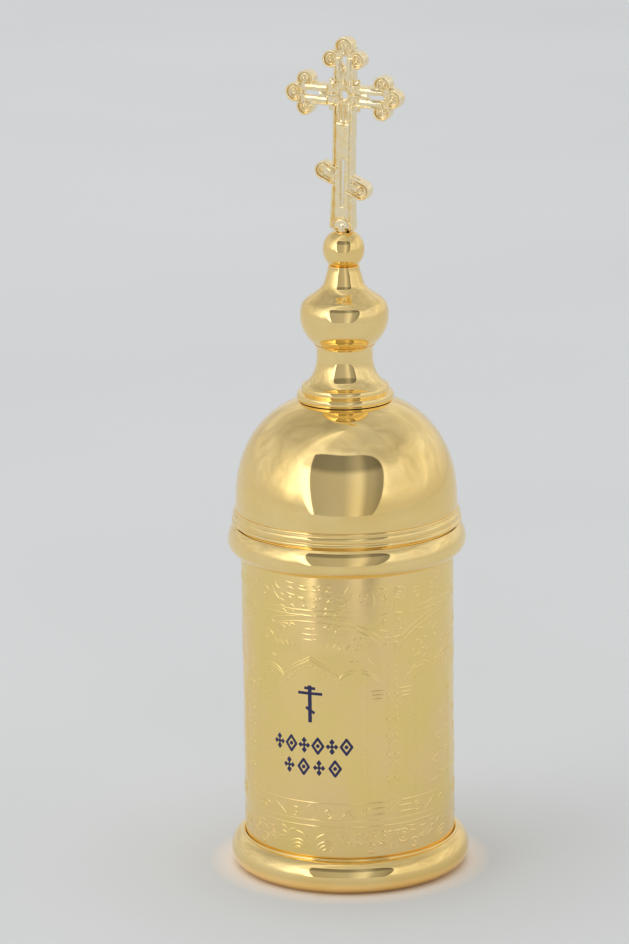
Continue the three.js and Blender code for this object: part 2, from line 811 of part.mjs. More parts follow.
const caseGroup = new THREE.Group();
caseGroup.add(
  piece("case_tube", tubeGeometry(), gilt(satin)),
  piece("base_ring", baseRingGeometry(), gilt(polished)),
  piece("base_plate", basePlateGeometry(), gilt(satin)),
  piece("body_ring", bodyRingGeometry(), gilt(polished)),
  piece("neck_sleeve", neckSleeveGeometry(), gilt(satin)),
);
const vialSeat = piece("vial_seat", vialSeatGeometry(), plain(feltColor, dull));
vialSeat.position.z = seatStep;
caseGroup.add(vialSeat);

const crossGroup = new THREE.Group();
crossGroup.position.z = ballTop + crossStandoff;
crossGroup.rotation.y = THREE.MathUtils.degToRad(crossLean);
crossGroup.add(piece("cross", crossGeometry(), gilt(cast)));

const finialGroup = new THREE.Group();
finialGroup.position.z = domeTop;
finialGroup.add(
  piece("finial_foot", finialFootGeometry(), gilt(polished)),
  piece("finial_bulb", finialBulbGeometry(), gilt(polished)),
  piece("finial_ball", finialBallGeometry(), gilt(polished)),
  piece("tie_rod", tieRodGeometry(), gilt(satin)),
  piece("tie_washer", washerGeometry(), gilt(satin)),
  piece("tie_nut", nutGeometry(), gilt(satin)),
  crossGroup,
);

const lidGroup = new THREE.Group();
lidGroup.position.z = seamHeight;
lidGroup.add(
  piece("lid_rim", lidRimGeometry(), gilt(polished)),
  piece("lid_dome", domeGeometry(), gilt(polished)),
  finialGroup,
);

const stopperGroup = new THREE.Group();
stopperGroup.position.z = vialHeight;
stopperGroup.add(
  piece("stopper_cap", stopperCapGeometry(), gilt(satin)),
  piece("stopper_plug", stopperPlugGeometry(), plain(corkColor, dull)),
  piece("anointing_rod", wandGeometry(), gilt(satin)),
  piece("anointing_swab", swabGeometry(), plain(cottonColor, dull)),
);

const vialGroup = new THREE.Group();
vialGroup.position.z = vialFoot;
const glass = plain(glassColor, polished);
glass.transparent = true;
glass.opacity = glassOpacity;
vialGroup.add(piece("glass_vial", vialGeometry(), glass), stopperGroup);

const vessel = new THREE.Group();
vessel.add(caseGroup, lidGroup, vialGroup);

export default vessel;
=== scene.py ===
"""Chrism vessel of gilt brass: an embossed case, a lift-off lid with a turned finial and a cast openwork
cross, and the glass vial with its stopper inside. Every piece is made around the model's frame.
"""
import math
import random
from functools import partial

import bmesh
import bpy
from bpy.props import FloatProperty, FloatVectorProperty, IntProperty, PointerProperty
from mathutils import Matrix, Vector


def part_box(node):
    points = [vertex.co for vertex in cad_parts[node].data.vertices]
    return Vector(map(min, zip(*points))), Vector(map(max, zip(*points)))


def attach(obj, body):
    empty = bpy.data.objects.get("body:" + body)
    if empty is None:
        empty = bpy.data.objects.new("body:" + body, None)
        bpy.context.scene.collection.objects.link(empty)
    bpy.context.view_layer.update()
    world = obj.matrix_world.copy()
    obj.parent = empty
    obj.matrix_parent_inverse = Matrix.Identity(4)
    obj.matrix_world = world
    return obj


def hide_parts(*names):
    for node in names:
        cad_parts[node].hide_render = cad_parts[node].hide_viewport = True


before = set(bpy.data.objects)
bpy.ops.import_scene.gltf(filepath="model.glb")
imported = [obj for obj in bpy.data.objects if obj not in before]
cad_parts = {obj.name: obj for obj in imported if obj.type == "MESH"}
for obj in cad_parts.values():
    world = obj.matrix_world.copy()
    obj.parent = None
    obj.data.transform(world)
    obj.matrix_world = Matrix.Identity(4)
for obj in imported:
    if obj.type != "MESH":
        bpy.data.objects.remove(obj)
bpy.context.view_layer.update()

bl_info = {
    "name": "Chrism Vessel",
    "version": (1, 0, 0),
    "blender": (4, 5, 0),
    "location": "3D View > Sidebar > Chrism Vessel",
    "description": "Builds a gilt chrism vessel with its lid, cross, vial and stopper",
    "category": "Object",
}

MM = 0.001
FULL_TURN = 2 * math.pi
SHARP_CORNER = math.radians(38)
SAME_POINT = 1e-4


# Reading the frame


def extent(node):
    """Bottom, top and reach to the right of a node of the frame, in millimetres."""
    (_, _, bottom), (reach, _, top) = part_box(node)
    return bottom / MM, top / MM, reach / MM


# Colours, as sRGB hex values


def linear(code):
    """The linear colour of an sRGB hex value."""
    channels = (int(code[i : i + 2], 16) / 255 for i in (1, 3, 5))
    return tuple(c / 12.92 if c <= 0.04045 else ((c + 0.055) / 1.055) ** 2.4 for c in channels)


def colour(name, code, description):
    """A colour property whose default is given as a hex value."""
    return FloatVectorProperty(
        name=name, description=description, subtype="COLOR", min=0, max=1, default=linear(code)
    )


def length(name, millimetres, description):
    """A length property whose default is given in millimetres."""
    return FloatProperty(
        name=name, description=description, subtype="DISTANCE", unit="LENGTH", precision=5,
        default=millimetres * MM,
    )


class VesselSizes(bpy.types.PropertyGroup):
    """Sizes of the turned and cast pieces."""

    tube_radius: length("Tube radius", extent("case_tube")[2], "Outside radius of the case")
    tube_wall: length("Tube wall", 0.8, "Thickness of the case's wall")
    relief_height: length("Relief height", 0.085, "How far the embossed lines stand proud")
    line_width: length("Line width", 0.62, "Width of an embossed line")
    dome_wall: length("Dome wall", 0.9, "Thickness of the dome")
    edge_round: length("Edge rounding", 0.07, "Radius of the small roundings on turned edges")
    cast_voxel: length("Casting detail", 0.14, "Size of the finest detail of the cast cross")
    turned_segments: IntProperty(
        name="Segments", description="Steps around the large turned pieces", default=180, min=24
    )


class VesselColours(bpy.types.PropertyGroup):
    """Colours of the finishes."""

    gold: colour("Gold", "#ffe3a0", "Reflection of the polished gilding")
    gold_deep: colour("Deep gold", "#fbd98c", "Where the gilding is a little thicker")
    gold_satin: colour("Satin gold", "#fbdf8e", "Reflection of the satin gilding on the case")
    gold_warm: colour("Warm gold", "#fddd9b", "Where the satin gilding is a little rosier")
    gold_cast: colour("Cast gold", "#fff0cb", "Reflection of the gilded casting")
    ink: colour("Ink", "#201f4d", "Printed mark on the case")
    cork: colour("Cork", "#b98b57", "Cork of the stopper")
    cork_dark: colour("Cork pores", "#6f4a2a", "Pores and veins of the cork")
    felt: colour("Felt", "#6d2330", "Felt of the vial's seat")
    cotton: colour("Cotton", "#f2eee2", "Swab of the anointing rod")
    glass: colour("Glass", "#f4faf8", "Glass of the vial")
    floor: colour("Floor", "#d3d5d6", "Surface that the vessel stands on")
    # Painted glow: the warm light that the gilt ring throws on the floor, painted into the floor's colour
    # beside the foot ring
    painted_glow: colour("Glow", "#fff0e0", "Floor beside the foot ring, which throws warm light on it")
    backdrop: colour("Backdrop", "#d2d5d5", "What is seen past the floor")


# Materials: one function adds a node, and each finish has a function that gives its shader's inputs


def node(tree, kind, inputs=(), out=0, stops=(), **settings):
    """Adds a node and gives one of its outputs. Inputs are values, or sockets to link; stops are the
    places and brightnesses of a ramp.
    """
    made = tree.nodes.new("ShaderNode" + kind)
    for key, value in settings.items():
        setattr(made, key, value)
    for key, value in inputs.items() if isinstance(inputs, dict) else enumerate(inputs):
        socket = made.inputs[key]
        if isinstance(value, bpy.types.NodeSocket):
            tree.links.new(value, socket)
        elif socket.type == "RGBA":
            socket.default_value = (*value, 1)
        else:
            socket.default_value = value
    if stops:
        made.color_ramp.interpolation = "EASE"
        elements = made.color_ramp.elements
        while len(elements) < len(stops):
            elements.new(0.5)
        for element, (place, brightness) in zip(elements, stops):
            element.position = place
            element.color = (brightness, brightness, brightness, 1)
    return made.outputs[out] if made.outputs else made


def per_size(millimetres):
    """The scale of a pattern on Object coordinates whose features are this large."""
    return 1 / (millimetres * MM)


def patches(place, millimetres, detail=3.0):
    """Inputs of a pattern on Object coordinates whose patches are this large."""
    return {"Vector": place, "Scale": per_size(millimetres), "Detail": detail, "Roughness": 0.55}


def gilding(add, place, tint, gloss, dents):
    """A gilded metal. tint holds two colours, the size and detail of their patches and the range of
    their share, gloss the size and detail of its patches and the roughnesses, and dents the size,
    detail, depth and strength of each, with the largest first.
    """
    main, second, millimetres, detail, start, end = tint
    share = add("MapRange", (add("TexNoise", patches(place, millimetres, detail)), start, end, 0.0, 1.0))
    millimetres, detail, glossy, dull = gloss
    inputs = {
        "Metallic": 1,
        "Base Color": add("Mix", {0: share, 6: main, 7: second}, 2, data_type="RGBA"),
        "Roughness": add(
            "MapRange", (add("TexNoise", patches(place, millimetres, detail)), 0.3, 0.75, glossy, dull)
        ),
    }
    under = {}
    for millimetres, detail, depth, strength in dents:
        height = add("TexNoise", patches(place, millimetres, detail))
        inputs["Normal"] = add(
            "Bump", {"Height": height, "Distance": depth * MM, "Strength": strength, **under}
        )
        under = {"Normal": inputs["Normal"]}
    return inputs


def polished_gilding(add, place, colours):
    """Turned brass, buffed and gilded: a mirror, with faint buffing haze and waves of the hand wheel."""
    tint = (colours.gold, colours.gold_deep, 15.0, 3.0, 0.35, 0.7)
    return gilding(add, place, tint, (7.0, 4.0, 0.02, 0.055), ((6.0, 1.0, 0.02, 0.5),))


def satin_gilding(add, place, colours):
    """Rolled brass, embossed and gilded: the fine matt grain of the rolls and a soft, uneven gloss."""
    tint = (colours.gold_satin, colours.gold_warm, 13.0, 3.0, 0.36, 0.62)
    dents = ((2.6, 2.0, 0.035, 0.6), (0.22, 2.0, 0.006, 0.5))
    return gilding(add, place, tint, (5.0, 4.0, 0.16, 0.25), dents)


def cast_gilding(add, place, colours):
    """Lost-wax brass, tumbled and gilded: paler gold in small patches over a fine cast skin."""
    tint = (colours.gold_cast, colours.gold, 1.4, 4.0, 0.4, 0.75)
    dents = ((1.3, 2.0, 0.05, 0.6), (0.4, 2.0, 0.02, 0.6))
    return gilding(add, place, tint, (1.4, 4.0, 0.08, 0.2), dents)


def printed_ink(add, place, colours):
    """Enamel ink, pad-printed on the satin wall: dark, a little glossy, with a slightly uneven film."""
    film = add("TexNoise", patches(place, 0.5, 2.0))
    share = add("MapRange", (film, 0.4, 0.8, 0.0, 1.0))
    lighter = tuple(min(1, 1.6 * c) for c in colours.ink)
    return {
        "Base Color": add("Mix", {0: share, 6: colours.ink, 7: lighter}, 2, data_type="RGBA"),
        "Roughness": add("MapRange", (film, 0.3, 0.7, 0.28, 0.42)),
        "Normal": add("Bump", {"Height": film, "Distance": 0.01 * MM, "Strength": 0.4}),
    }


def clear_glass(add, place, colours):
    """Blown soda glass: clear, glossy, with the slow waves of the blowing."""
    waves = add("TexNoise", patches(place, 9.0, 1.0))
    return {
        "Base Color": colours.glass,
        "Transmission Weight": 1,
        "IOR": 1.5,
        "Roughness": add("MapRange", (waves, 0.3, 0.7, 0.0, 0.03)),
        "Normal": add("Bump", {"Height": waves, "Distance": 0.05 * MM, "Strength": 0.4}),
    }


def natural_cork(add, place, colours):
    """Cork oak bark, cut and ground: warm brown, dry, with dark pores."""
    grains = add("TexVoronoi", {"Vector": place, "Scale": per_size(1.3)}, "Distance")
    pores = add("MapRange", (add("TexNoise", patches(place, 1.1, 4.0)), 0.5, 0.62, 0.0, 1.0))
    return {
        "Base Color": add("Mix", {0: pores, 6: colours.cork, 7: colours.cork_dark}, 2, data_type="RGBA"),
        "Roughness": 0.85,
        "Normal": add("Bump", {"Height": grains, "Distance": 0.15 * MM, "Strength": 0.6}),
    }


def fibres(add, place, shade, millimetres):
    """Pressed or bound fibre in one shade, with a matt, hairy surface."""
    hairs = add("TexNoise", {
        "Vector": place, "Scale": per_size(millimetres), "Detail": 6.0, "Distortion": 2.0,
    })
    share = add("MapRange", (hairs, 0.35, 0.65, 0.0, 1.0))
    darker = tuple(0.62 * c for c in shade)
    return {
        "Base Color": add("Mix", {0: share, 6: darker, 7: shade}, 2, data_type="RGBA"),
        "Roughness": 0.95,
        "Sheen Weight": 0.3,
        "Normal": add("Bump", {"Height": hairs, "Distance": 0.25 * MM, "Strength": 0.8}),
    }


def wool_felt(add, place, colours):
    """Pressed wool: deep red, matt and hairy."""
    return fibres(add, place, colours.felt, 0.6)


def cotton_wick(add, place, colours):
    """Bound cotton: white, matt, with fine strands."""
    return fibres(add, place, colours.cotton, 0.45)


def pale_surface(add, place, colours):
    """Painted board: matt and pale, a trace uneven, with a painted warm glow round the foot ring that stands
    in for the light the gilt ring throws on it.
    """
    cloud = add("MapRange", (add("TexNoise", patches(place, 260.0, 2.0)), 0.3, 0.7, 0.0, 1.0))
    darker = tuple(0.95 * c for c in colours.floor)
    paint = add("Mix", {0: cloud, 6: darker, 7: colours.floor}, 2, data_type="RGBA")
    distance = add("VectorMath", (place,), "Value", operation="LENGTH")
    # Painted light: from the foot ring outwards the floor's colour fades from the painted glow to its plain
    # paint, standing in for the warm light that the gilt ring throws on it
    ring_foot, painted_glow_end = 0.0235, 0.03
    painted_glow = add("MapRange", (distance, ring_foot, painted_glow_end, 0.8, 0.0))
    return {
        "Base Color": add("Mix", {0: painted_glow, 6: paint, 7: colours.painted_glow}, 2, data_type="RGBA"),
        "Roughness": 0.75,
        "Specular IOR Level": 0.2,
    }


def finish_of(maker):
    """The material of a finish, made when it is first asked for."""
    name = maker.__name__
    if name in bpy.data.materials:
        return bpy.data.materials[name]
    material = bpy.data.materials.new(name)
    material.use_nodes = True
    tree = material.node_tree
    tree.nodes.clear()
    add = partial(node, tree)
    shader_inputs = maker(add, add("TexCoord", out="Object"), bpy.context.scene.vessel_colours)
    add("OutputMaterial", {"Surface": add("BsdfPrincipled", shader_inputs)})
    return material


# Pieces


def add_piece(name, bm, finish, body, *nodes, sharp=35):
    """Makes an object of a bmesh: its finish, the body it rides on and the nodes it stands for."""
    mesh = bpy.data.meshes.new(name)
    bm.to_mesh(mesh)
    bm.free()
    mesh.shade_smooth()
    mesh.set_sharp_from_angle(angle=math.radians(sharp))
    mesh.materials.append(finish_of(finish))
    piece = bpy.data.objects.new(name, mesh)
    bpy.context.scene.collection.objects.link(piece)
    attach(piece, body)
    if nodes:
        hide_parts(*nodes)


def add_turned(name, section, finish, body, *nodes, steps=None, edge=None, sharp=35):
    """Makes a turned piece of a section, with the scene's segments and edge rounding unless given."""
    sizes = bpy.context.scene.vessel_sizes
    edge = sizes.edge_round / MM if edge is None else edge
    add_piece(
        name, turned(section, steps or sizes.turned_segments, edge), finish, body, *nodes, sharp=sharp
    )


def level_ring(bm, sides, height, reach):
    """Corners of a level ring round the vertical axis. reach(turn) is its radius at a share of a turn."""
    corners = []
    for turn in (side / sides for side in range(sides)):
        angle, radius = FULL_TURN * turn, reach(turn) * MM
        corners.append(bm.verts.new((radius * math.cos(angle), radius * math.sin(angle), height * MM)))
    return corners


def loft(bm, rings, ends=True):
    """Faces between rings of corners, and one across each end."""
    for lower_ring, upper_ring in zip(rings, rings[1:]):
        for a in range(len(lower_ring)):
            b = (a + 1) % len(lower_ring)
            bm.faces.new((lower_ring[a], lower_ring[b], upper_ring[b], upper_ring[a]))
    if ends:
        bm.faces.new(rings[0][::-1])
        bm.faces.new(rings[-1])
    return bm


class Section:
    """Half of a turned piece's section: radius and height in millimetres, going round it."""

    def __init__(self, radius, height):
        self.points = [(radius, height)]

    def to(self, *points):
        """Straight lines to these points."""
        self.points += points
        return self

    def arc(self, centre, radii, start, end, steps=14):
        """A stretch of an ellipse between two angles in degrees, from its first point to its last."""
        for step in range(steps + 1):
            angle = math.radians(start + (end - start) * step / steps)
            radius = centre[0] + radii[0] * math.cos(angle)
            self.points.append((radius, centre[1] + radii[1] * math.sin(angle)))
        return self

    def curve(self, first, second, end, steps=18):
        """A cubic curve from the last point, with two handles."""
        start = self.points[-1]
        for step in range(1, steps + 1):
            t = step / steps
            weights = ((1 - t) ** 3, 3 * t * (1 - t) ** 2, 3 * t * t * (1 - t), t**3)
            corners = (start, first, second, end)
            self.points.append(
                tuple(sum(w * c[axis] for w, c in zip(weights, corners)) for axis in (0, 1))
            )
        return self


def turned(section, segments, edge):
    """Spins a section round the vertical axis into a closed solid and rounds its sharp edges."""
    points = [section.points[0]]
    for point in section.points[1:]:
        if math.dist(point, points[-1]) > SAME_POINT:
            points.append(point)
    if math.dist(points[0], points[-1]) < SAME_POINT:
        points.pop()
    bm = bmesh.new()
    ring = [bm.verts.new((r * MM, 0, z * MM)) for r, z in points]
    wire = [bm.edges.new(pair) for pair in zip(ring, ring[1:])]
    if points[0][0] > 0 or points[-1][0] > 0:
        wire.append(bm.edges.new((ring[-1], ring[0])))
    bmesh.ops.spin(
        bm, geom=ring + wire, cent=(0, 0, 0), axis=(0, 0, 1), angle=FULL_TURN, steps=segments,
        use_merge=True,
    )
    bmesh.ops.remove_doubles(bm, verts=bm.verts, dist=1e-7)
    bmesh.ops.recalc_face_normals(bm, faces=bm.faces)
    if edge:
        sharp = [e for e in bm.edges if e.is_manifold and e.calc_face_angle() > SHARP_CORNER]
        bmesh.ops.bevel(
            bm, geom=sharp, offset=edge * MM, offset_type="OFFSET", affect="EDGES", segments=3,
            profile=0.5, material=-1, clamp_overlap=True,
        )
    return bm


def superellipse_height(radius, base, rise, fullness):
    """Height of a dome over its spring line at a radius."""
    return rise * max(0.0, 1 - (radius / base) ** fullness) ** (1 / fullness)


def dome_points(base, rise, spring, hole, fullness, steps=64):
    """Points of a dome from its spring line to the hole in its crown."""
    last = math.acos((hole / base) ** (fullness / 2))
    points = []
    for step in range(steps + 1):
        radius = base * math.cos(last * step / steps) ** (2 / fullness)
        points.append((radius, spring + superellipse_height(radius, base, rise, fullness)))
    return points


# Strokes: raised lines and beads that are drawn flat and laid on a surface


def line(start, end, steps=1):
    """Points of a straight stroke."""
    return [
        tuple(a + (b - a) * step / steps for a, b in zip(start, end)) for step in range(steps + 1)
    ]


def arc(x, y, radius, start, end, flat=1.0, steps=14):
    """Points of an arc between two angles in degrees. flat below 1 presses it to an ellipse."""
    points = []
    for step in range(steps + 1):
        angle = math.radians(start + (end - start) * step / steps)
        points.append((x + radius * math.cos(angle), y + flat * radius * math.sin(angle)))
    return points


def curl(x, y, outer, inner, start, end, steps=20):
    """Points of a spiral that closes in on its centre."""
    points = []
    for step in range(steps + 1):
        t = step / steps
        angle = math.radians(start + (end - start) * t)
        radius = outer + (inner - outer) * t
        points.append((x + radius * math.cos(angle), y + radius * math.sin(angle)))
    return points


def bend(start, first, second, end, steps=14):
    """Points of a cubic curve."""
    return Section(*start).curve(first, second, end, steps).points


BAYS = 4
BAY = extent("case_tube")[2] * FULL_TURN / BAYS

# Sections of a stroke: across it, in halves of its width, and up from the surface, in its height
RIDGE = ((-1, -0.5), (-0.85, 0.32), (-0.5, 0.82), (0, 1), (0.5, 0.82), (0.85, 0.32), (1, -0.5))
SOFT = (
    (-1, -0.4), (-0.8, 0.1), (-0.55, 0.42), (-0.28, 0.82), (0, 1), (0.28, 0.82), (0.55, 0.42),
    (0.8, 0.1), (1, -0.4),
)
CREST = (
    (-1, -0.6), (-0.96, 0.25), (-0.82, 0.57), (-0.6, 0.8), (-0.32, 0.95), (0, 1), (0.32, 0.95),
    (0.6, 0.8), (0.82, 0.57), (0.96, 0.25), (1, -0.6),
)
FIELD = (
    (-8.3, -0.6), (-8.3, 0.75), (-7.3, 0.92), (-3.6, 0.98), (0, 1), (3.6, 0.98), (7.3, 0.92), (8.3, 0.75),
    (8.3, -0.6),
)
PLATEAU = ((-1, -0.6), (-1, 0.82), (-0.8, 0.985), (0, 1), (0.8, 0.985), (1, 0.82), (1, -0.6))
RIBBON = ((-1, -1), (-1, 1), (1, 1), (1, -1))

# Sections of a bead, from its foot to its crown
DOME = ((1, -0.5), (0.92, 0.4), (0.7, 0.75), (0.38, 0.94))
DISC = ((1, -1), (1, 1))
BEAD_SIDES = 12


class Strokes:
    """Raised strokes on a surface. place(x, y, height) gives a point's place in space."""

    def __init__(self, place, half_width, height, profile=RIDGE, bead_profile=DOME):
        self.bm = bmesh.new()
        self.place = place
        self.half_width = half_width
        self.height = height
        self.profile = profile
        self.bead_profile = bead_profile

    def stroke(self, points, start=1.0, middle=None, end=None, rise=1.0, profile=None):
        """One stroke along the points, with its widths at the start, the middle and the end."""
        middle = start if middle is None else middle
        end = middle if end is None else end
        rings = []
        last = len(points) - 1
        widest = max(start, middle, end)
        for index, (x, y) in enumerate(points):
            x0, y0 = points[max(index - 1, 0)]
            x1, y1 = points[min(index + 1, last)]
            reach = math.hypot(x1 - x0, y1 - y0)
            side_x, side_y = (y0 - y1) / reach, (x1 - x0) / reach
            t = 2 * index / last
            share = start + (middle - start) * t if t < 1 else middle + (end - middle) * (t - 1)
            half = share * self.half_width
            height = rise * self.height * share / widest
            rings.append([
                self.bm.verts.new(
                    self.place(x + side_x * half * u, y + side_y * half * u, v * height)
                )
                for u, v in profile or self.profile
            ])
        loft(self.bm, rings)

    def both(self, points, *widths, **rise):
        """The stroke and its mirror image across x = 0."""
        self.stroke(points, *widths, **rise)
        self.stroke([(-x, y) for x, y in points], *widths, **rise)

    def leaves(self, *rows):
        """Mirrored pairs of curved leaves: four points of each curve, its steps and its widths."""
        for start, first, second, end, steps, *widths in rows:
            self.both(bend(start, first, second, end, steps), *widths)

    def bead(self, x, y, radius, rise=1.0):
        """A round bead, or a dot."""
        turns = [FULL_TURN * side / BEAD_SIDES for side in range(BEAD_SIDES)]
        loft(self.bm, [
            [
                self.bm.verts.new(self.place(x + reach * math.cos(a), y + reach * math.sin(a), height))
                for a in turns
            ]
            for reach, height in (
                (share * radius, level * rise * self.height) for share, level in self.bead_profile
            )
        ])

    def beads(self, x, y, radius, rise=1.0):
        """A bead and its mirror image across x = 0."""
        self.bead(x, y, radius, rise)
        self.bead(-x, y, radius, rise)

    def done(self):
        """The mesh of all strokes, with its faces outward."""
        bmesh.ops.recalc_face_normals(self.bm, faces=self.bm.faces)
        return self.bm


def around(radius, turn):
    """Lays flat millimetres round an upright cylinder, from a turn in degrees to the right of the front."""

    def place(x, y, height):
        angle = math.radians(turn) + x / radius
        reach = (radius + height) * MM
        return Vector((reach * math.sin(angle), -reach * math.cos(angle), y * MM))

    return place


# Case


def base_ring_section():
    """Half-round foot ring: a flat foot, a bead, a thin lip round the tube and a ledge inside."""
    wall, reach, foot_band, floor, step, ledge = 22.0, 3.0, 1.9, 1.2, 0.8, 0.9
    widest, crown, lip, lip_radius = 3.3, 3.7, 0.7, 0.3
    socket, bore = wall + 0.05, wall - step
    cut = math.acos(lip / reach)
    crease = widest + crown * math.sin(cut)
    section = Section(wall - foot_band, 0)
    section.arc((wall, widest), (reach, widest), -90, 0, 20)
    section.arc((wall, widest), (reach, crown), 0, math.degrees(cut), 24)
    centre = (wall + lip - lip_radius, crease + 0.14)
    section.arc(centre, (lip_radius, lip_radius), -35, 150, 12)
    section.to((socket, crease + 0.22), (socket, floor + step), (bore, floor + step), (bore, floor))
    return section.to((bore - ledge, floor), (bore - ledge, floor / 2))


def body_ring_section():
    """Bead round the case's mouth, cut flat at the seam, with a lip over the end of the tube."""
    wall, bead, lower, crown, drop = 22.0, 2.75, 3.2, 4.3, 3.4
    root, crown_root, socket = 1.5, 0.75, wall + 0.05
    seam, tube_end = extent("body_ring")[1], extent("case_tube")[1]
    widest = seam - drop
    start = math.acos((root + 0.05) / (root + bead))
    cut = math.asin(drop / crown)
    section = Section(socket, widest - lower * math.sin(start))
    section.arc((wall - root, widest), (root + bead, lower), -math.degrees(start), 0, 20)
    section.arc((wall - crown_root, widest), (crown_root + bead, crown), 0, math.degrees(cut), 20)
    lip = wall - 0.8
    return section.to((lip, seam), (lip, tube_end + 0.05), (socket, tube_end + 0.05))


class VESSEL_OT_case(bpy.types.Operator):
    """The case: tube, base ring, bottom plate and the ring at its mouth."""

    bl_idname = "vessel.case"
    bl_label = "Case"

    def execute(self, context):
        sizes = context.scene.vessel_sizes
        radius = sizes.tube_radius / MM
        bore = radius - sizes.tube_wall / MM
        bottom, top, _ = extent("case_tube")
        tube = Section(radius, bottom).to((radius, top), (bore, top), (bore, bottom))
        add_turned("case_wall", tube, satin_gilding, "case", "case_tube")
        add_turned("foot_ring", base_ring_section(), polished_gilding, "case", "base_ring")
        add_turned("mouth_ring", body_ring_section(), polished_gilding, "case", "body_ring")
        bottom, top, reach = extent("base_plate")
        dish, flat, slope = 0.25, 2.5, 1.0
        plate = Section(0, bottom + dish).to(
            (reach - flat - slope, bottom + dish), (reach - flat, bottom), (reach, bottom),
            (reach, top), (0, top),
        )
        add_turned("bottom_plate", plate, satin_gilding, "case", "base_plate")
        return {"FINISHED"}


def portal_arches(relief):
    """The arches of one bay: a wide round one over a three-lobed one, with beads under it."""
    for half_span, rise in ((16.9, 9.0), (15.7, 7.9)):
        relief.stroke(arc(0, 50, half_span, 0, 180, rise / half_span, 40), rise=0.6)
        relief.both(line((half_span, 50), (half_span, 15.2), 4), rise=0.5)
    for z in (59.2, 60.3):
        relief.stroke(line((-13, z), (13, z), 24), 0.3, 1, 0.3)
    for lift, width in ((0, 1.0), (0.75, 0.6)):
        inner = bend((6.1, 45.2 + lift), (5.2, 47.6 + lift), (2.4, 48.2 + lift), (0, 49.8 + lift))
        outer = bend((6.1, 45.2 + lift), (7.6, 47.6 + lift), (11.2, 48.2 + lift), (14.3, 45.0 + lift), 18)
        for lobe in (inner, outer):
            relief.both(lobe, width, rise=0.6)
    for step in range(7):
        t = (step + 0.5) / 7
        relief.beads(6.4 * t, 48.6 - 4.6 * t**1.4, 0.3)
    for step in range(5):
        angle = math.radians(35 * step)
        relief.beads(9.2 + 2.6 * math.sin(angle - 1.2), 44.6 + 1.3 * math.cos(angle - 1.2), 0.28)
    for step in range(21):
        relief.beads(11.8, 44.2 - 1.17 * step, 0.27)


def portal_columns(relief):
    """Slender columns with capital and base, and a twisted one between them and the next bay."""
    for x, bulge in ((13.3, 0.35), (14.1, 0.1), (14.9, -0.1)):
        relief.both(bend((x, 41), (x + bulge, 36), (x + bulge, 27), (x, 19.6), 10), 0.7, 1.0, 0.7)
    for z, reach in ((43.2, 1.5), (42.3, 1.2), (41.5, 0.9), (19.1, 1.1), (17.9, 1.4), (16.6, 1.6)):
        relief.both(line((14.1 - reach, z), (14.1 + reach, z), 4), 0.8, 1, 0.8)
    for step in range(22):
        z = 16.4 + 1.5 * step
        relief.both(bend((15.9, z), (16.2, z + 0.1), (16.5, z + 0.5), (16.7, z + 1.0), 4), 0.5, 1, 0.5)
    for z in (24, 29, 33, 36.5, 42):
        relief.beads(16.3, z, 0.62, 1.3)
        relief.both(arc(16.3, z, 0.95, -50, 50, steps=6), 0.4, 0.8, 0.4)


def portal_plinth(relief):
    """Ledges under the field, with small panels and buds between them."""
    relief.stroke(line((-14.2, 19.1), (14.2, 19.1), 30), 0.8, rise=0.5)
    for z, width in ((15.2, 1.4), (14.0, 1.0)):
        relief.stroke(line((-BAY / 2, z), (BAY / 2, z), 30), width, rise=0.55)
    for side in (-1, 1):
        for x in (5.4, 9.9, 12.9):
            relief.stroke(line((side * x, 15.6), (side * x, 18.7), 3), 0.6)
        relief.stroke(curl(side * 11.4, 17.1, 1.1, 0.25, 90, 90 - side * 520, 18), 0.9, 0.8, 0.6)
        relief.stroke(curl(side * 3.6, 17.0, 1.1, 0.3, -90, -90 + side * 430, 16), 0.6, 0.9, 0.7)
    relief.leaves(
        ((0.3, 15.6), (1.6, 16.4), (1.5, 18), (0.2, 18.7), 8, 0.4, 1.2, 0.3),
        ((6.0, 16.0), (7.0, 16.4), (7.4, 17.4), (9.2, 18.3), 8, 0.3, 1.3, 0.2),
        ((6.4, 18.2), (7.2, 17.8), (8.0, 16.6), (9.4, 16.0), 8, 0.3, 1.0, 0.2),
    )


def portal_frieze(relief):
    """The band over the foot ring: mirrored fans and scrolls, with a flower at each side."""
    for radius in (1.2, 2.0, 2.8):
        relief.both(arc(3.2, 8.0, radius, 12, 168, steps=12), 0.3, 1.0, 0.3)
    relief.leaves(
        ((0.3, 9.6), (0.5, 11.2), (1.6, 12.4), (3.6, 12.6), 10, 0.2, 1.1, 0.5),
        ((3.9, 13.0), (4.8, 12.9), (5.9, 12.2), (6.4, 11.2), 8, 0.3, 1.2, 0.2),
        ((16.0, 8.2), (16.6, 9.2), (17.0, 9.6), (17.2, 10.6), 6, 0.4, 1.0, 0.3),
    )
    for step in range(4):
        angle = math.radians(20 + 42 * step)
        tip = (8.9 + 2.4 * math.cos(angle), 9.6 + 2.6 * math.sin(angle))
        relief.leaves(((8.9, 9.0), (8.9, 10.4), tip, tip, 6, 0.3, 1.3, 0.15))
    relief.both(curl(12.3, 9.2, 1.5, 0.3, 200, -260, 18), 0.5, 1.0, 0.8)
    for radius, width in ((1.35, 1.0), (0.6, 0.8)):
        relief.both(arc(15.0, 11.4, radius, 0, 350, steps=16), width)
    relief.beads(15.0, 11.4, 0.3)
    foliage(relief, 11, 5.5, 16.0, 10.6, 13.6, 2)


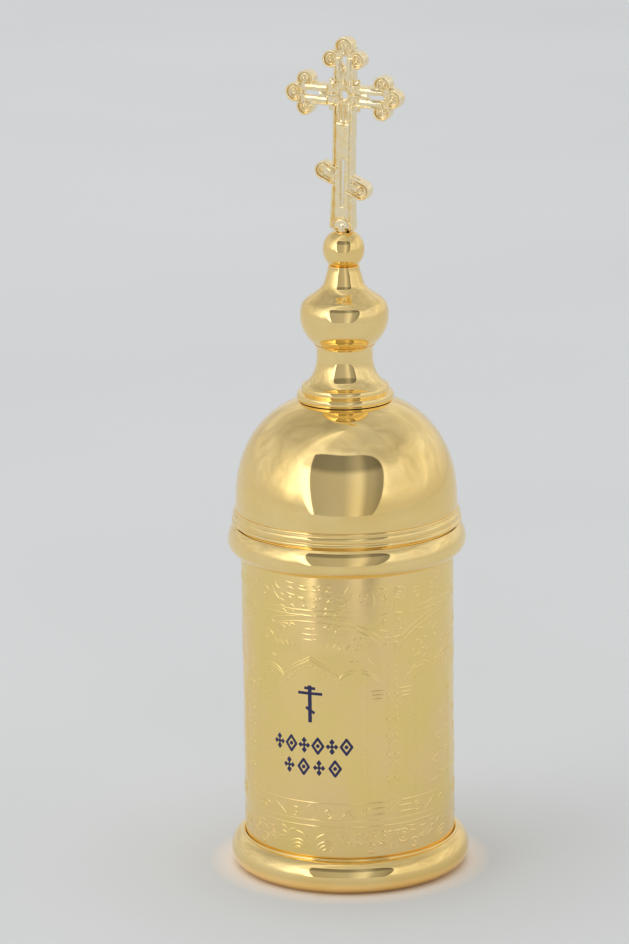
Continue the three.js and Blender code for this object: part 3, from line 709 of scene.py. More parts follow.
def portal_spandrels(relief):
    """Scrolls between two bays, over the springing of their arches."""
    for x, z, radius, start, sweep in (
        (15.6, 63.4, 1.7, 160, -430), (15.2, 58.6, 1.1, 250, 400), (11.2, 62.9, 1.3, 30, 420),
    ):
        relief.both(curl(x, z, radius, 0.3, start, start + sweep, 18), 0.5, 1.0, 0.8)
    relief.leaves(
        ((16.9, 56.4), (17.9, 58.4), (15.9, 60.8), (17.0, 62.6), 10, 0.2, 1.5, 0.2),
        ((16.6, 55.6), (15.4, 56.2), (14.6, 55.4), (14.4, 57.2), 8, 0.3, 1.1, 0.2),
        ((17.2, 52.0), (16.5, 53.0), (16.5, 54.2), (17.2, 55.2), 8, 0.2, 1.3, 0.2),
        ((12.6, 60.6), (13.6, 61.2), (14.0, 62.4), (13.2, 64.6), 8, 0.3, 1.2, 0.2),
    )
    foliage(relief, 5, 14.6, 16.4, 51, 66, 6)


def foliage(relief, seed, left, right, bottom, top, rows):
    """Small curled leaves and buds in uneven rows, mirrored across the middle of the bay."""
    chance = random.Random(seed)
    for row in range(rows):
        x = left + chance.uniform(0, 0.8)
        while x < right:
            reach, lift = chance.uniform(1.2, 2.3), chance.uniform(-0.7, 0.9)
            z = bottom + (top - bottom) * (row + chance.uniform(0.3, 0.7)) / rows
            tip = (x + reach, z + chance.uniform(-0.4, 0.5))
            leaf = bend((x, z), (x + 0.3 * reach, z + lift), (x + 0.8 * reach, z + lift), tip, 6)
            relief.both(leaf, 0.3, chance.uniform(1.0, 1.6), 0.2)
            if chance.random() < 0.35:
                relief.beads(x + 0.5 * reach, z - 0.45, chance.uniform(0.2, 0.32))
            x += reach + chance.uniform(0.5, 1.4)


def portal_crown(relief):
    """The band under the mouth ring: leafwork between swept leaves."""
    foliage(relief, 3, 0.3, 6.4, 58.6, 66.4, 6)
    relief.leaves(
        ((6.2, 61.9), (7.4, 61.6), (8.4, 62.6), (9.2, 64.8), 10, 0.3, 1.3, 0.2),
        ((6.6, 64.2), (7.4, 63.8), (8.0, 64.6), (8.3, 66.0), 8, 0.3, 1.0, 0.2),
    )


def rayed_gable(relief):
    """The front bay's gable: a fan of flames under a small shell, with a curl at each side."""
    for z, span in ((55.4, 1.7), (54.3, 1.4), (56.6, 1.2)):
        ridge = bend((-span, z), (-span / 2, z - 0.35), (span / 2, z - 0.35), (span, z), 8)
        relief.stroke(ridge, 0.3, 1.1, 0.3)
    for step in range(5):
        x, foot, tip = 2.5 + 1.25 * step, 50.9 - 0.1 * step, 55.0 - 0.2 * step
        lean = 0.25 * step
        relief.leaves(
            ((x, foot), (x - 0.5, 52.2), (x + 0.6 + lean, 53), (x + lean, tip), 8, 0.3, 1.7, 0.15),
            ((x + 0.6, 51.3), (x + 0.9, 52), (x + 0.8, 52.6), (x + 1.1, 53.4), 5, 0.2, 0.9, 0.15),
        )
    relief.both(curl(10.3, 53.6, 1.6, 0.35, 260, -170, 18), 0.6, 1.1, 0.8)
    relief.both(curl(5.9, 55.8, 0.6, 0.2, 0, 300, 10), 0.6, 0.8, 0.6)
    relief.leaves(
        ((7.6, 49.9), (8.5, 49.0), (9.4, 50.6), (10.4, 49.5), 10, 0.4, 1.1, 0.3),
        ((11.6, 50.6), (12.6, 49.8), (12.9, 48.8), (13.8, 48.6), 8, 0.2, 1.2, 0.2),
        ((4.2, 56.6), (5.6, 57.4), (7.2, 56.9), (8.4, 55.9), 8, 0.3, 1.1, 0.2),
    )
    foliage(relief, 14, 3.0, 10.0, 55.4, 57.6, 1)


def garland(relief):
    """A side bay's field: a hanging garland under scrolls, over a flowering stem."""
    relief.leaves(((14.0, 50.6), (9.6, 48.2), (4.6, 44.4), (0, 43.8), 24, 0.6, 1.7, 2.0))
    for step in range(8):
        t = (step + 0.5) / 8
        x, z = 13.4 - 12.6 * t, 50.4 - 5.8 * t**0.8
        relief.leaves(
            ((x, z), (x - 0.3, z - 0.8), (x + 0.2, z - 1.3), (x + 0.7, z - 1.7), 5, 0.3, 1.2, 0.15),
            ((x, z), (x + 0.1, z + 0.7), (x - 0.5, z + 1.1), (x - 0.9, z + 1.5), 5, 0.3, 1.1, 0.15),
        )
    for z, foot, inner, outer, angles, steps, widths in (
        (51.4, 51.4, 0.6, 1.9, range(0, 360, 45), 3, (0.4, 1.3, 0.5)),
        (39.4, 39.2, 0.3, 1.9, range(18, 180, 36), 4, (0.4, 1.5, 0.3)),
    ):
        for angle in map(math.radians, angles):
            start = (inner * math.cos(angle), foot + inner * math.sin(angle))
            tip = (outer * math.cos(angle), z + outer * math.sin(angle))
            relief.stroke(line(start, tip, steps), *widths)
    relief.bead(0, 51.4, 0.55, 1.4)
    relief.bead(0, 39.2, 0.5, 1.4)
    relief.both(curl(5.2, 53.4, 2.0, 0.35, 200, -250, 22), 0.4, 1.2, 0.8)
    relief.both(curl(9.6, 51.6, 1.5, 0.3, 90, 480, 18), 0.4, 1.1, 0.8)
    relief.stroke(line((0, 21), (0, 38.6), 6), 0.8, 1.0, 0.5)
    for z, reach in ((22.5, 6.6), (27.5, 5.6), (32.0, 4.2)):
        near, far, tip = reach * 0.6, reach * 0.8, reach + 1.0
        relief.leaves(
            ((0, z), (reach * 0.5, z - 0.4), (reach, z + 0.8), (reach, z + 3.0), 12, 0.9, 1.0, 0.5),
            ((near, z + 0.2), (far, z - 1.2), (reach, z - 1.4), (tip, z - 0.8), 6, 0.2, 1.4, 0.15),
        )
        relief.both(curl(reach - 1.0, z + 3.0, 1.0, 0.25, 0, 400, 14), 0.6, 1.0, 0.7)
    foliage(relief, 8, 1.5, 11.0, 46.5, 56.5, 4)


class VESSEL_OT_relief(bpy.types.Operator):
    """The embossing of the case, in four bays round it."""

    bl_idname = "vessel.relief"
    bl_label = "Embossing"

    def execute(self, context):
        sizes = context.scene.vessel_sizes
        half_width, height = sizes.line_width / MM / 2, sizes.relief_height / MM
        for bay in range(BAYS):
            lay = around(sizes.tube_radius / MM, bay * 360 / BAYS)
            relief = Strokes(lay, half_width, height, SOFT)
            for part in (
                portal_arches, portal_columns, portal_plinth, portal_frieze, portal_spandrels,
                portal_crown, garland if bay % 2 else rayed_gable,
            ):
                part(relief)
            add_piece(f"embossed_bay_{bay + 1}", relief.done(), satin_gilding, "case", sharp=75)
        return {"FINISHED"}


class VESSEL_OT_mark(bpy.types.Operator):
    """The printed mark: a small three-bar cross over two rows of plain ornament."""

    bl_idname = "vessel.mark"
    bl_label = "Printed mark"

    def execute(self, context):
        half_width, film = 0.3, 0.03
        lay = around(context.scene.vessel_sizes.tube_radius / MM, 0)
        mark = Strokes(lay, half_width, film, RIBBON, DISC)
        for start, end, steps, width in (
            ((-0.1, 36.5), (-0.1, 44.4), 2, 1.35), ((-2.7, 42.7), (2.6, 42.7), 8, 1),
            ((-1.3, 43.8), (1.1, 43.8), 4, 1), ((-1.0, 39.7), (0.9, 38.5), 4, 1),
        ):
            mark.stroke(line(start, end, steps), width)
        for z, places in ((31.5, (-7.5, -4.5, -1.5, 1.5, 4.5, 7.5)), (26.8, (-5.1, -1.7, 1.7, 5.1))):
            for index, x in enumerate(places):
                (lozenge if index % 2 else quatrefoil)(mark, x, z)
        add_piece("printed_mark", mark.done(), printed_ink, "case")
        return {"FINISHED"}


def lozenge(mark, x, z):
    """A drawn lozenge with a dot in it."""
    wide, tall = 1.15, 1.6
    corners = [(x + wide, z), (x, z + tall), (x - wide, z), (x, z - tall), (x + wide, z)]
    for start, end in zip(corners, corners[1:]):
        mark.stroke(line(start, end, 3), 0.9)
    for corner in corners[:4]:
        mark.bead(*corner, 0.27)
    mark.bead(x, z, 0.42)


def quatrefoil(mark, x, z):
    """Four leaves round a dot."""
    for angle, reach in zip((0, 90, 180, 270), (1.3, 1.7, 1.3, 1.7)):
        leaf = line((0.35, 0), (reach, 0), 6)
        mark.stroke(spun(leaf, x, z, angle), 0.3, 1.9, 0.2)
    mark.bead(x, z, 0.4)


# Inner fittings of the case


class VESSEL_OT_fittings(bpy.types.Operator):
    """The neck sleeve that carries the lid, and the felt seat of the vial."""

    bl_idname = "vessel.fittings"
    bl_label = "Sleeve and seat"

    def execute(self, context):
        bottom, top, outer = extent("neck_sleeve")
        wall, lead_in, soft = 0.7, 0.4, 0.1
        inner = outer - wall
        sleeve = Section(outer, bottom).to((outer, top - lead_in))
        sleeve.curve((outer, top - soft), (outer - soft, top), (outer - wall / 2, top), 6)
        sleeve.curve((inner + soft, top), (inner, top - soft), (inner, top - lead_in), 6)
        sleeve.to((inner, bottom))
        add_turned("lid_sleeve", sleeve, satin_gilding, "case", "neck_sleeve")
        base, rim, reach = extent("vial_seat")
        thickness, side, foot_bevel, lip, swell, corner = 2.0, 1.6, 0.4, 0.7, 0.3, 0.5
        cup, cup_floor = reach - side, base + thickness
        seat = Section(0, base).to((reach - foot_bevel, base), (reach, base + foot_bevel), (reach, rim - lip))
        seat.curve((reach, rim - soft), (reach - swell, rim), (reach - side / 2, rim), 6)
        seat.curve((cup + swell, rim), (cup, rim - soft), (cup, rim - lip), 6)
        seat.to((cup, cup_floor + corner))
        seat.curve((cup, cup_floor), (cup, cup_floor), (cup - corner, cup_floor), 5)
        seat.to((0, cup_floor))
        add_turned("felt_seat", seat, wool_felt, "case", "vial_seat", edge=0, sharp=60)
        return {"FINISHED"}


# Lid


ROD_HOLE = 1.55


def dome_form():
    """The dome's rise over its spring line, its superellipse's exponent and the spring line's height."""
    return 23.4, 2.28, extent("lid_dome")[0] + 0.8


def lid_rim_section():
    """Ring under the dome: two soft beads and a narrow band, and a spigot inside the dome."""
    (bottom, spigot_top, _), rim_top = extent("lid_rim"), extent("lid_dome")[0]
    bore, spigot = 21.4, 22.0
    seam_depth, seam = 22.6, 0.45
    section = Section(bore, bottom).to((seam_depth, bottom), (seam_depth, bottom + seam))
    level = bottom + seam
    for reach, height, depth, start, end in (
        (23.85, 1.25 - seam, 0.42, -88, 60), (23.66, 1.5, 0.5, -52, 58), (23.3, 0.65, 0.2, -45, 86),
    ):
        section.arc((reach - depth, level + height / 2), (depth, height / 2), start, end, 16)
        level += height
    return section.to((spigot, rim_top), (spigot, spigot_top), (bore, spigot_top))


class VESSEL_OT_dome(bpy.types.Operator):
    """The lid's rim and its polished dome."""

    bl_idname = "vessel.dome"
    bl_label = "Dome and rim"

    def execute(self, context):
        add_turned("lid_beads", lid_rim_section(), polished_gilding, "lid", "lid_rim")
        wall = context.scene.vessel_sizes.dome_wall / MM
        (bottom, _, outer), hole = extent("lid_dome"), 1.8
        rise, fullness, spring = dome_form()
        inner = outer - wall
        shell = Section(inner, bottom).to((outer, bottom))
        shell.to(*dome_points(outer, rise, spring, hole, fullness))
        shell.to(*reversed(dome_points(inner, rise - wall, spring, hole, fullness)))
        add_turned("dome", shell, polished_gilding, "lid", "lid_dome")
        return {"FINISHED"}


def foot_section():
    """Flared foot: two beads on a flare that is drawn in to a waist and opens under the bulb."""
    bottom, top, _ = extent("finial_foot")
    outer, second, depth, height, waist, drop, reach = 10.05, 9.1, 0.4, 1.55, 5.82, 2.9, 6.4
    bead, sweep, flare_radius = height / 2, 0.45, 7.1
    dome_radius, gap = extent("lid_dome")[2], 0.15
    rise, fullness, spring = dome_form()
    seat, undercut, hollow_steps = outer - depth, -62, 12
    under = seat + depth * math.cos(math.radians(undercut))
    hollow = [max(under * step / hollow_steps, ROD_HOLE) for step in range(hollow_steps + 1)]
    points = [
        (r, spring + superellipse_height(r, dome_radius, rise, fullness) + gap) for r in hollow
    ]
    section = Section(*points[0]).to(*points[1:])
    section.arc((seat, bottom + bead), (depth, bead), undercut, 64)
    section.arc((second - depth, bottom + 3 * bead), (depth, bead), -58, 90)
    flare, narrow = bottom + 2 * height, top - drop
    section.curve(
        (flare_radius, flare + bead), (waist, narrow - (narrow - flare) * sweep), (waist, narrow), 26
    )
    section.curve((waist, narrow + drop * sweep), (reach - bead, top - bead), (reach, top), 14)
    return section.to((ROD_HOLE, top))


def bulb_section():
    """Onion-shaped bulb drawn out to a slim neck."""
    bottom, top, _ = extent("finial_bulb")
    radius, lower, belly, shoulder, shoulder_radius = 9.15, 8.2, 6.0, 4.2, 6.7
    root, root_radius, neck_radius = 2.9, 4.0, 3.25
    widest = bottom + belly
    high_shoulder = widest + shoulder
    start = math.asin(belly / lower)
    section = Section(ROD_HOLE, bottom).to((radius * math.cos(start), bottom))
    section.arc((0, widest), (radius, lower), -math.degrees(start), 0, 24)
    cheek, scoop = radius - shoulder_radius, shoulder_radius - root_radius
    section.curve(
        (radius, widest + 0.64 * shoulder),
        (shoulder_radius + 0.53 * cheek, high_shoulder - 0.18 * shoulder),
        (shoulder_radius, high_shoulder), 20,
    )
    section.curve(
        (root_radius + scoop / 2, high_shoulder + 0.3 * root),
        (root_radius + 0.13 * scoop, high_shoulder + 0.53 * root), (root_radius, high_shoulder + root), 16,
    )
    middle = (high_shoulder + root + top) / 2
    section.curve((neck_radius + 0.3, middle), (neck_radius, middle + 0.5), (neck_radius, top), 14)
    return section.to((ROD_HOLE, top))


def ball_section():
    """Small ball cut flat on the neck and under the cross, with a pocket for the cross's tang."""
    bottom, top, _ = extent("finial_ball")
    radius, seat, crown, tang_hole, pocket, rod = 4.3, 2.75, 2.3, 1.5, 2.9, 3.0
    centre = bottom + math.sqrt(radius**2 - seat**2)
    start, end = -math.degrees(math.acos(seat / radius)), math.degrees(math.acos(crown / radius))
    section = Section(ROD_HOLE, bottom).arc((0, centre), (radius, radius), start, end, 40)
    return section.to(
        (tang_hole, top), (tang_hole, top - pocket), (0, top - pocket), (0, bottom + rod),
        (ROD_HOLE, bottom + rod),
    )


def threaded_rod(radius, bottom, top, threads, pitch, depth):
    """Rod with a cut thread along each stretch of threads, and chamfered ends."""
    bm = bmesh.new()
    levels_per_turn, sides = 6, 24
    levels = round((top - bottom) / (pitch / levels_per_turn))
    rings = []
    for level in range(levels + 1):
        z = bottom + (top - bottom) * level / levels
        cut = depth if any(a <= z <= b for a, b in threads) else 0
        if level in (0, levels):
            rings.append(level_ring(bm, sides, z, lambda turn: radius - 1.6 * depth))
        else:
            rings.append(level_ring(
                bm, sides, z, lambda turn: radius - cut * (1 - abs(2 * ((z / pitch - turn) % 1) - 1))
            ))
    bmesh.ops.recalc_face_normals(loft(bm, rings), faces=bm.faces)
    return bm


def hexagon_nut(flats, bottom, top):
    """Hexagon nut with a round hole and chamfered corners, as level rings inside each other."""
    bm = bmesh.new()
    sides, chamfer, land = 48, 0.35, flats / 2 + 0.1

    def hexagon(turn):
        swing = (FULL_TURN * turn + math.pi / 6) % (math.pi / 3) - math.pi / 6
        return flats / 2 / math.cos(swing)

    rings = [
        level_ring(bm, sides, height, reach)
        for height, reach in (
            (bottom, lambda turn: ROD_HOLE), (bottom, lambda turn: min(land, hexagon(turn))),
            (bottom + chamfer, hexagon), (top - chamfer, hexagon),
            (top, lambda turn: min(land, hexagon(turn))), (top, lambda turn: ROD_HOLE),
        )
    ]
    loft(bm, [*rings, rings[0]], ends=False)
    bmesh.ops.recalc_face_normals(bm, faces=bm.faces)
    return bm


class VESSEL_OT_finial(bpy.types.Operator):
    """The turned finial: foot, bulb and ball, with the rod, washer and nut that hold it."""

    bl_idname = "vessel.finial"
    bl_label = "Finial"

    def execute(self, context):
        steps = context.scene.vessel_sizes.turned_segments * 2 // 3
        for name, section, stands_for in (
            ("flared_foot", foot_section(), "finial_foot"),
            ("onion_bulb", bulb_section(), "finial_bulb"),
            ("small_ball", ball_section(), "finial_ball"),
        ):
            add_turned(name, section, polished_gilding, "lid", stands_for, steps=steps)
        (bottom, top, radius), (nut_low, nut_high, _) = extent("tie_rod"), extent("tie_nut")
        pitch, thread_depth, run_out, flats = 0.6, 0.18, 0.4, 5.5
        threads = ((bottom, nut_high + run_out), (extent("finial_ball")[0], top))
        rod = threaded_rod(radius, bottom, top, threads, pitch, thread_depth)
        add_piece("threaded_rod", rod, satin_gilding, "lid", "tie_rod", sharp=60)
        lower, upper, reach = extent("tie_washer")
        washer = Section(ROD_HOLE, lower).to((reach, lower), (reach, upper), (ROD_HOLE, upper))
        add_turned("washer", washer, satin_gilding, "lid", "tie_washer", steps=72)
        nut = hexagon_nut(flats, nut_low, nut_high)
        add_piece("hexagon_nut", nut, satin_gilding, "lid", "tie_nut")
        return {"FINISHED"}


# Cross, in its own plane: x to the right, y up from the foot of its stem, and z towards the front


# Lengths in millimetres and angles in degrees; a HALF is half a width, a Y a height over the foot
CROSS_HEIGHT = 40.0
STANDOFF = 0.3
HALF_SPAN = 12.55
FACE = 1.4
FLOOR = 0.76
STEM_HALF = 2.125
FOOT_HALF = 2.55
ARM_HALF = 2.25
ARM_Y = 28.0
LOBE = 1.95
SIDE_LOBE = 1.83
SIDE_OFFSET = 2.78
SLANT_Y = 10.45
SLANT_FALL = 24.9
SLANT_HALF = 4.5
SLANT_RADIUS = 1.9
TANG_RADIUS = 1.2
LEAN = 1.5
RIM = 0.2
EDGE_BEVEL = 0.15

# Turn, reach, inset of the side lobes and half width of each trefoil end
ENDS = ((0, 10.6, 2.3, ARM_HALF), (180, 10.6, 2.3, ARM_HALF), (90, 10.05, 2.7, STEM_HALF))


def layers(bm, outline, levels):
    """A closed shell of outlines one over another. outline(margin) is its form, drawn in by a margin."""
    loft(bm, [[bm.verts.new((x * MM, y * MM, z * MM)) for x, y in outline(m)] for z, m in levels])


def slab(bm, outline, back, front, bevel):
    """A flat shell with chamfered edges."""
    layers(bm, outline, ((back, bevel), (back + bevel, 0), (front - bevel, 0), (front, bevel)))


def disc(x, y, radius):
    """Outline of a disc."""
    return lambda margin: arc(x, y, radius - margin, 0, 350, steps=35)


def block(left, right, bottom, top):
    """Outline of a rectangle."""
    return lambda m: [
        (left + m, bottom + m), (right - m, bottom + m), (right - m, top - m), (left + m, top - m)
    ]


def round_bar(x0, y0, x1, y1, radius):
    """Outline of a bar with round ends."""
    along = math.degrees(math.atan2(y1 - y0, x1 - x0))
    return lambda m: (
        arc(x1, y1, radius - m, along - 90, along + 90)
        + arc(x0, y0, radius - m, along + 90, along + 270)
    )


def spun(points, x, y, degrees):
    """Points turned about the origin and then moved."""
    cos, sin = math.cos(math.radians(degrees)), math.sin(math.radians(degrees))
    return [(x + u * cos - v * sin, y + u * sin + v * cos) for u, v in points]


def placed(location, *turns):
    """The matrix of a place, with turns in degrees about its own axes."""
    matrix = Matrix.Translation(location)
    for degrees, axis in turns:
        matrix = matrix @ Matrix.Rotation(math.radians(degrees), 4, axis)
    return matrix


def slant_ends():
    """Centres of the slanted bar's round ends, left and right."""
    x = SLANT_HALF * math.cos(math.radians(SLANT_FALL))
    y = SLANT_HALF * math.sin(math.radians(SLANT_FALL))
    return (-x, SLANT_Y + y), (x, SLANT_Y - y)


def cross_core(bm, tang_end):
    """The plain body of the cross up to the floor of its panels, with the tang."""
    top_lobe, arm_lobe, corner = CROSS_HEIGHT - LOBE, HALF_SPAN - LOBE, 0.6
    shapes = [
        block(-STEM_HALF, STEM_HALF, SLANT_Y, top_lobe),
        block(-arm_lobe, arm_lobe, ARM_Y - ARM_HALF, ARM_Y + ARM_HALF),
        round_bar(*slant_ends()[0], *slant_ends()[1], SLANT_RADIUS),
        lambda m: [
            (STEM_HALF - m, SLANT_Y), (m - STEM_HALF, SLANT_Y),
            *arc(corner - FOOT_HALF, corner, corner - m, 180, 270, steps=5),
            *arc(FOOT_HALF - corner, corner, corner - m, 270, 360, steps=5),
        ],
    ]
    for turn, reach, inset, _ in ENDS:
        lobes = [(reach, 0), (reach - inset, SIDE_OFFSET), (reach - inset, -SIDE_OFFSET)]
        for place, radius in zip(spun(lobes, 0, ARM_Y, turn), (LOBE, SIDE_LOBE, SIDE_LOBE)):
            shapes.append(disc(*place, radius))
    for outline in shapes:
        slab(bm, outline, -FACE, FLOOR, EDGE_BEVEL)
    leaf_end, ball_place, leaf_half, ball, ball_level = 3.75, 4.2, 0.5, 0.46, 0.1
    for turn in (45, 135, 225, 315):
        tip = spun([(leaf_end, 0), (ball_place, 0)], 0, ARM_Y, turn)
        slab(bm, round_bar(0, ARM_Y, *tip[0], leaf_half), -0.6, 0.55, EDGE_BEVEL)
        layers(bm, disc(*tip[1], ball), [
            (ball_level + ball * math.sin(a), ball * (1 - math.cos(a)))
            for a in map(math.radians, range(-75, 90, 25))
        ])
    tang_start, tang_bevel, tang_sides = 1.2, 0.3, 24
    loft(bm, [
        [
            bm.verts.new((x * MM, y * MM, z * MM))
            for x, z in arc(0, 0, radius, 0, 360 - 360 / tang_sides, steps=tang_sides - 1)
        ]
        for y, radius in (
            (tang_start, TANG_RADIUS), (tang_end + tang_bevel, TANG_RADIUS),
            (tang_end, TANG_RADIUS - tang_bevel),
        )
    ])


def cross_openings(bm):
    """Cutters for the openings, which widen towards the back, and for the arched groove at the foot."""

    def long_slot(m):
        return arc(0, 14.6, 0.38 - m, 0, 180) + arc(0, 5.35, 0.26 - m, 180, 360)

    def keyhole(m):
        return [(0, 33.8 + m), (0.74 - m, 34.7), *arc(0, 35.2, 0.74 - m, 0, 180), (m - 0.74, 34.7)]

    shapes = [
        (round_bar(5.5, ARM_Y, 8.25, ARM_Y, 0.48), 0.2),
        (round_bar(-5.5, ARM_Y, -8.25, ARM_Y, 0.48), 0.2),
        (long_slot, 0.3), (keyhole, 0.28), (disc(0, ARM_Y, 0.82), 0.25),
    ]
    for outline, flare in shapes:
        layers(bm, outline, ((-2 * FACE, -flare), (-FACE, -flare), (0, 0), (2 * FACE, 0)))
    groove = [*arc(0, 0.62, 2.22, 0, 180), *arc(0, 0.62, 1.86, 180, 0)]
    layers(bm, lambda m: groove, ((FLOOR - 0.1, 0), (2 * FACE, 0)))


def trefoil(cast, turn, reach, inset, half):
    """Rims, inner bands, palmettes and buds of the three lobes at one end."""

    def laid(points):
        return spun([(x + reach, y) for x, y in points], 0, ARM_Y, turn)

    meet = math.degrees(math.asin((SIDE_OFFSET - half + RIM) / (SIDE_LOBE - RIM)))
    cast.stroke(laid(arc(0, 0, LOBE - RIM, -124, 124, steps=40)), profile=PLATEAU)
    cast.stroke(laid(arc(0, 0, LOBE - 0.8, -112, 112, steps=32)), 1.2, 1.5, 1.2, rise=0.6)
    palmette(cast, laid, 0, 0, 0)
    for side in (-1, 1):
        x, y = -inset, side * SIDE_OFFSET
        for radius, trim, width, rise, form in (
            (SIDE_LOBE - RIM, 0, 1, 1, PLATEAU), (SIDE_LOBE - 0.78, 16, 1.45, 0.6, CREST),
        ):
            ring = arc(x, y, radius, side * (trim - 38), side * (180 + meet - trim), steps=36)
            cast.stroke(laid(ring), width, rise=rise, profile=form)
        palmette(cast, laid, x, y, side * 90)
        cast.bead(*laid([(-0.95, side * 1.3)])[0], 0.42, 0.55)
        cast.bead(*laid([(-inset - 0.75, side * 1.5)])[0], 0.36, 0.5)
    cast.bead(*laid([(-1.5, 0)])[0], 0.5, 0.62)
    cast.stroke(laid([(-1.0, 0), (-0.75, 0), (-0.5, 0)]), 1.6, 1.2, 0.5, rise=0.5)


def palmette(cast, laid, x, y, turn):
    """Four leaves that fan out in one lobe from its inner side, over a small bud."""
    for degrees, reach in ((-66, 1.0), (-22, 1.5), (22, 1.5), (66, 1.0)):
        leaf = spun(line((0.25, 0), (reach, 0), 6), 0, 0, degrees)
        cast.stroke(laid(spun([(u - 0.78, v) for u, v in leaf], x, y, turn)), 0.8, 1.9, 0.8, rise=0.56)
    cast.bead(*laid(spun([(-0.82, 0)], x, y, turn))[0], 0.3, 0.6)


def arm_bars(cast):
    """Rims of the arms, and the broad flat bars along their slots."""
    for turn, reach, inset, half in ENDS:
        for side in (-1, 1):
            rim = line((half, side * (half - RIM)), (reach - inset - 1.5, side * (half - RIM)), 6)
            cast.stroke(spun(rim, 0, ARM_Y, turn), profile=PLATEAU)
            if turn != 90:
                bar = line((8.3, side * 1.14), (3.6, side * 1.2), 12)
                cast.stroke(spun(bar, 0, ARM_Y, turn), 2.6, 3.3, 3.2, rise=0.8, profile=PLATEAU)
        if turn != 90:
            web = spun(line((5.1, 0), (3.9, 0), 2), 0, ARM_Y, turn)
            cast.stroke(web, 3.6, 3.6, 3.0, rise=0.78, profile=PLATEAU)
    beside_slot = bend((1.2, 35.6), (1.2, 33.8), (1.2, 32.6), (1.15, 31.4), 14)
    cast.both(beside_slot, 2.8, 3.1, 2.4, rise=0.8, profile=PLATEAU)
    under_slot = bend((0.66, 34.2), (0.55, 33.4), (0.35, 32.7), (0.0, 32.0), 8)
    cast.both(under_slot, 0.8, 1.6, 1.3, rise=0.75)


def crossing(cast):
    """The flower at the crossing: three petals and small leaves round a ring of beads."""
    cast.stroke(line((0, 31.6), (0, 29.0), 12), 0.3, 3.0, 0.4, rise=0.85)
    for start, end, steps, widths, rise in (
        ((1.2, ARM_Y), (3.7, ARM_Y), 12, (1.0, 3.0, 0.4), 0.95),
        ((1.35, 30.95), (1.4, 29.7), 6, (0.5, 2.2, 0.6), 0.55),
        ((1.9, 29.2), (2.6, 29.9), 5, (0.5, 1.9, 0.6), 0.5),
        ((1.7, 26.9), (2.5, 26.3), 5, (0.5, 1.9, 0.6), 0.5),
    ):
        cast.both(line(start, end, steps), *widths, rise=rise)
    cast.beads(1.75, ARM_Y, 0.4, 0.8)
    for degrees in range(15, 360, 30):
        cast.bead(*spun([(1.3, 0)], 0, ARM_Y, degrees)[0], 0.3, 0.55)


def pendant(cast):
    """The pendant under the flower: a rod between two strands, leaf ends and a tassel."""
    cast.stroke(line((0, 26.45), (0, 22.6), 8), 1.3, 1.75, 1.5, rise=0.4)
    cast.both(line((0.5, 26.2), (0.5, 23.2), 6), 0.5, rise=0.25)
    strand = bend((1.15, 26.3), (1.3, 25.2), (1.25, 24.2), (1.1, 23.3), 10)
    cast.both(strand, 1.7, 2.6, 1.5, rise=0.75)
    cast.both(bend((1.5, 23.1), (1.4, 22.6), (1.0, 22.5), (0.75, 22.9), 8), 0.6, 1.5, 0.7, rise=0.5)
    cast.stroke(arc(0, 22.05, 0.72, 190, 350, steps=14), 0.8, 1.0, 0.8, rise=0.62)
    cast.bead(0, 22.05, 0.55, 0.85)


def stem_and_slant(cast):
    """Rims of the stem, and the slanted bar's scrolls: leaves to the left, a ringed bead to the right."""
    left, right = slant_ends()
    edge, under_arm = STEM_HALF - RIM, ARM_Y - ARM_HALF + 0.1
    for side, upper, lower in ((-1, 13.7, 9.2), (1, 11.6, 7.2)):
        foot = side * (FOOT_HALF - RIM)
        cast.stroke(line((side * edge, under_arm), (side * edge, upper), 8), profile=PLATEAU)
        cast.stroke([(side * (edge + 0.06), lower), (foot, 1.2), (foot, 0.5)], profile=PLATEAU)
    for (x, y), turn in ((left, 180 - SLANT_FALL), (right, -SLANT_FALL)):
        for margin, back, width, rise, form in ((RIM, 2.7, 1, 1, PLATEAU), (0.8, 1.9, 1.2, 0.75, CREST)):
            radius = SLANT_RADIUS - margin
            loop = [(-back, radius), *arc(0, 0, radius, 90, -90, steps=20), (-back, -radius)]
            cast.stroke(spun(loop, x, y, turn), width, rise=rise, profile=form)
    for start, first, second, end, width in (
        ((-3.75, 12.75), (-2.9, 12.7), (-2.2, 11.7), (-1.1, 11.4), 2.4),
        ((-4.75, 12.2), (-4.7, 11.6), (-4.2, 11.2), (-3.8, 10.9), 1.6),
        ((-2.9, 10.2), (-2.3, 9.9), (-1.8, 10.3), (-1.2, 10.6), 2.2),
        ((-3.2, 13.7), (-2.7, 13.3), (-2.4, 12.9), (-2.0, 12.9), 1.2),
        ((1.5, 11.3), (2.2, 11.1), (3.0, 10.9), (3.9, 10.9), 2.2),
        ((1.3, 9.7), (2.0, 9.9), (2.6, 9.8), (3.3, 9.4), 2.0),
        ((1.4, 8.4), (1.9, 8.3), (2.3, 8.2), (2.7, 7.6), 2.6),
        ((3.2, 7.5), (3.9, 7.2), (4.7, 7.4), (5.2, 8.0), 1.3),
    ):
        cast.stroke(bend(start, first, second, end, 10), 0.5, width, 0.6, rise=0.75)
    cast.stroke(arc(3.75, 8.7, 0.62, 0, 345, steps=18), 1.1, rise=0.75)
    cast.bead(3.75, 8.7, 0.22, 0.5)


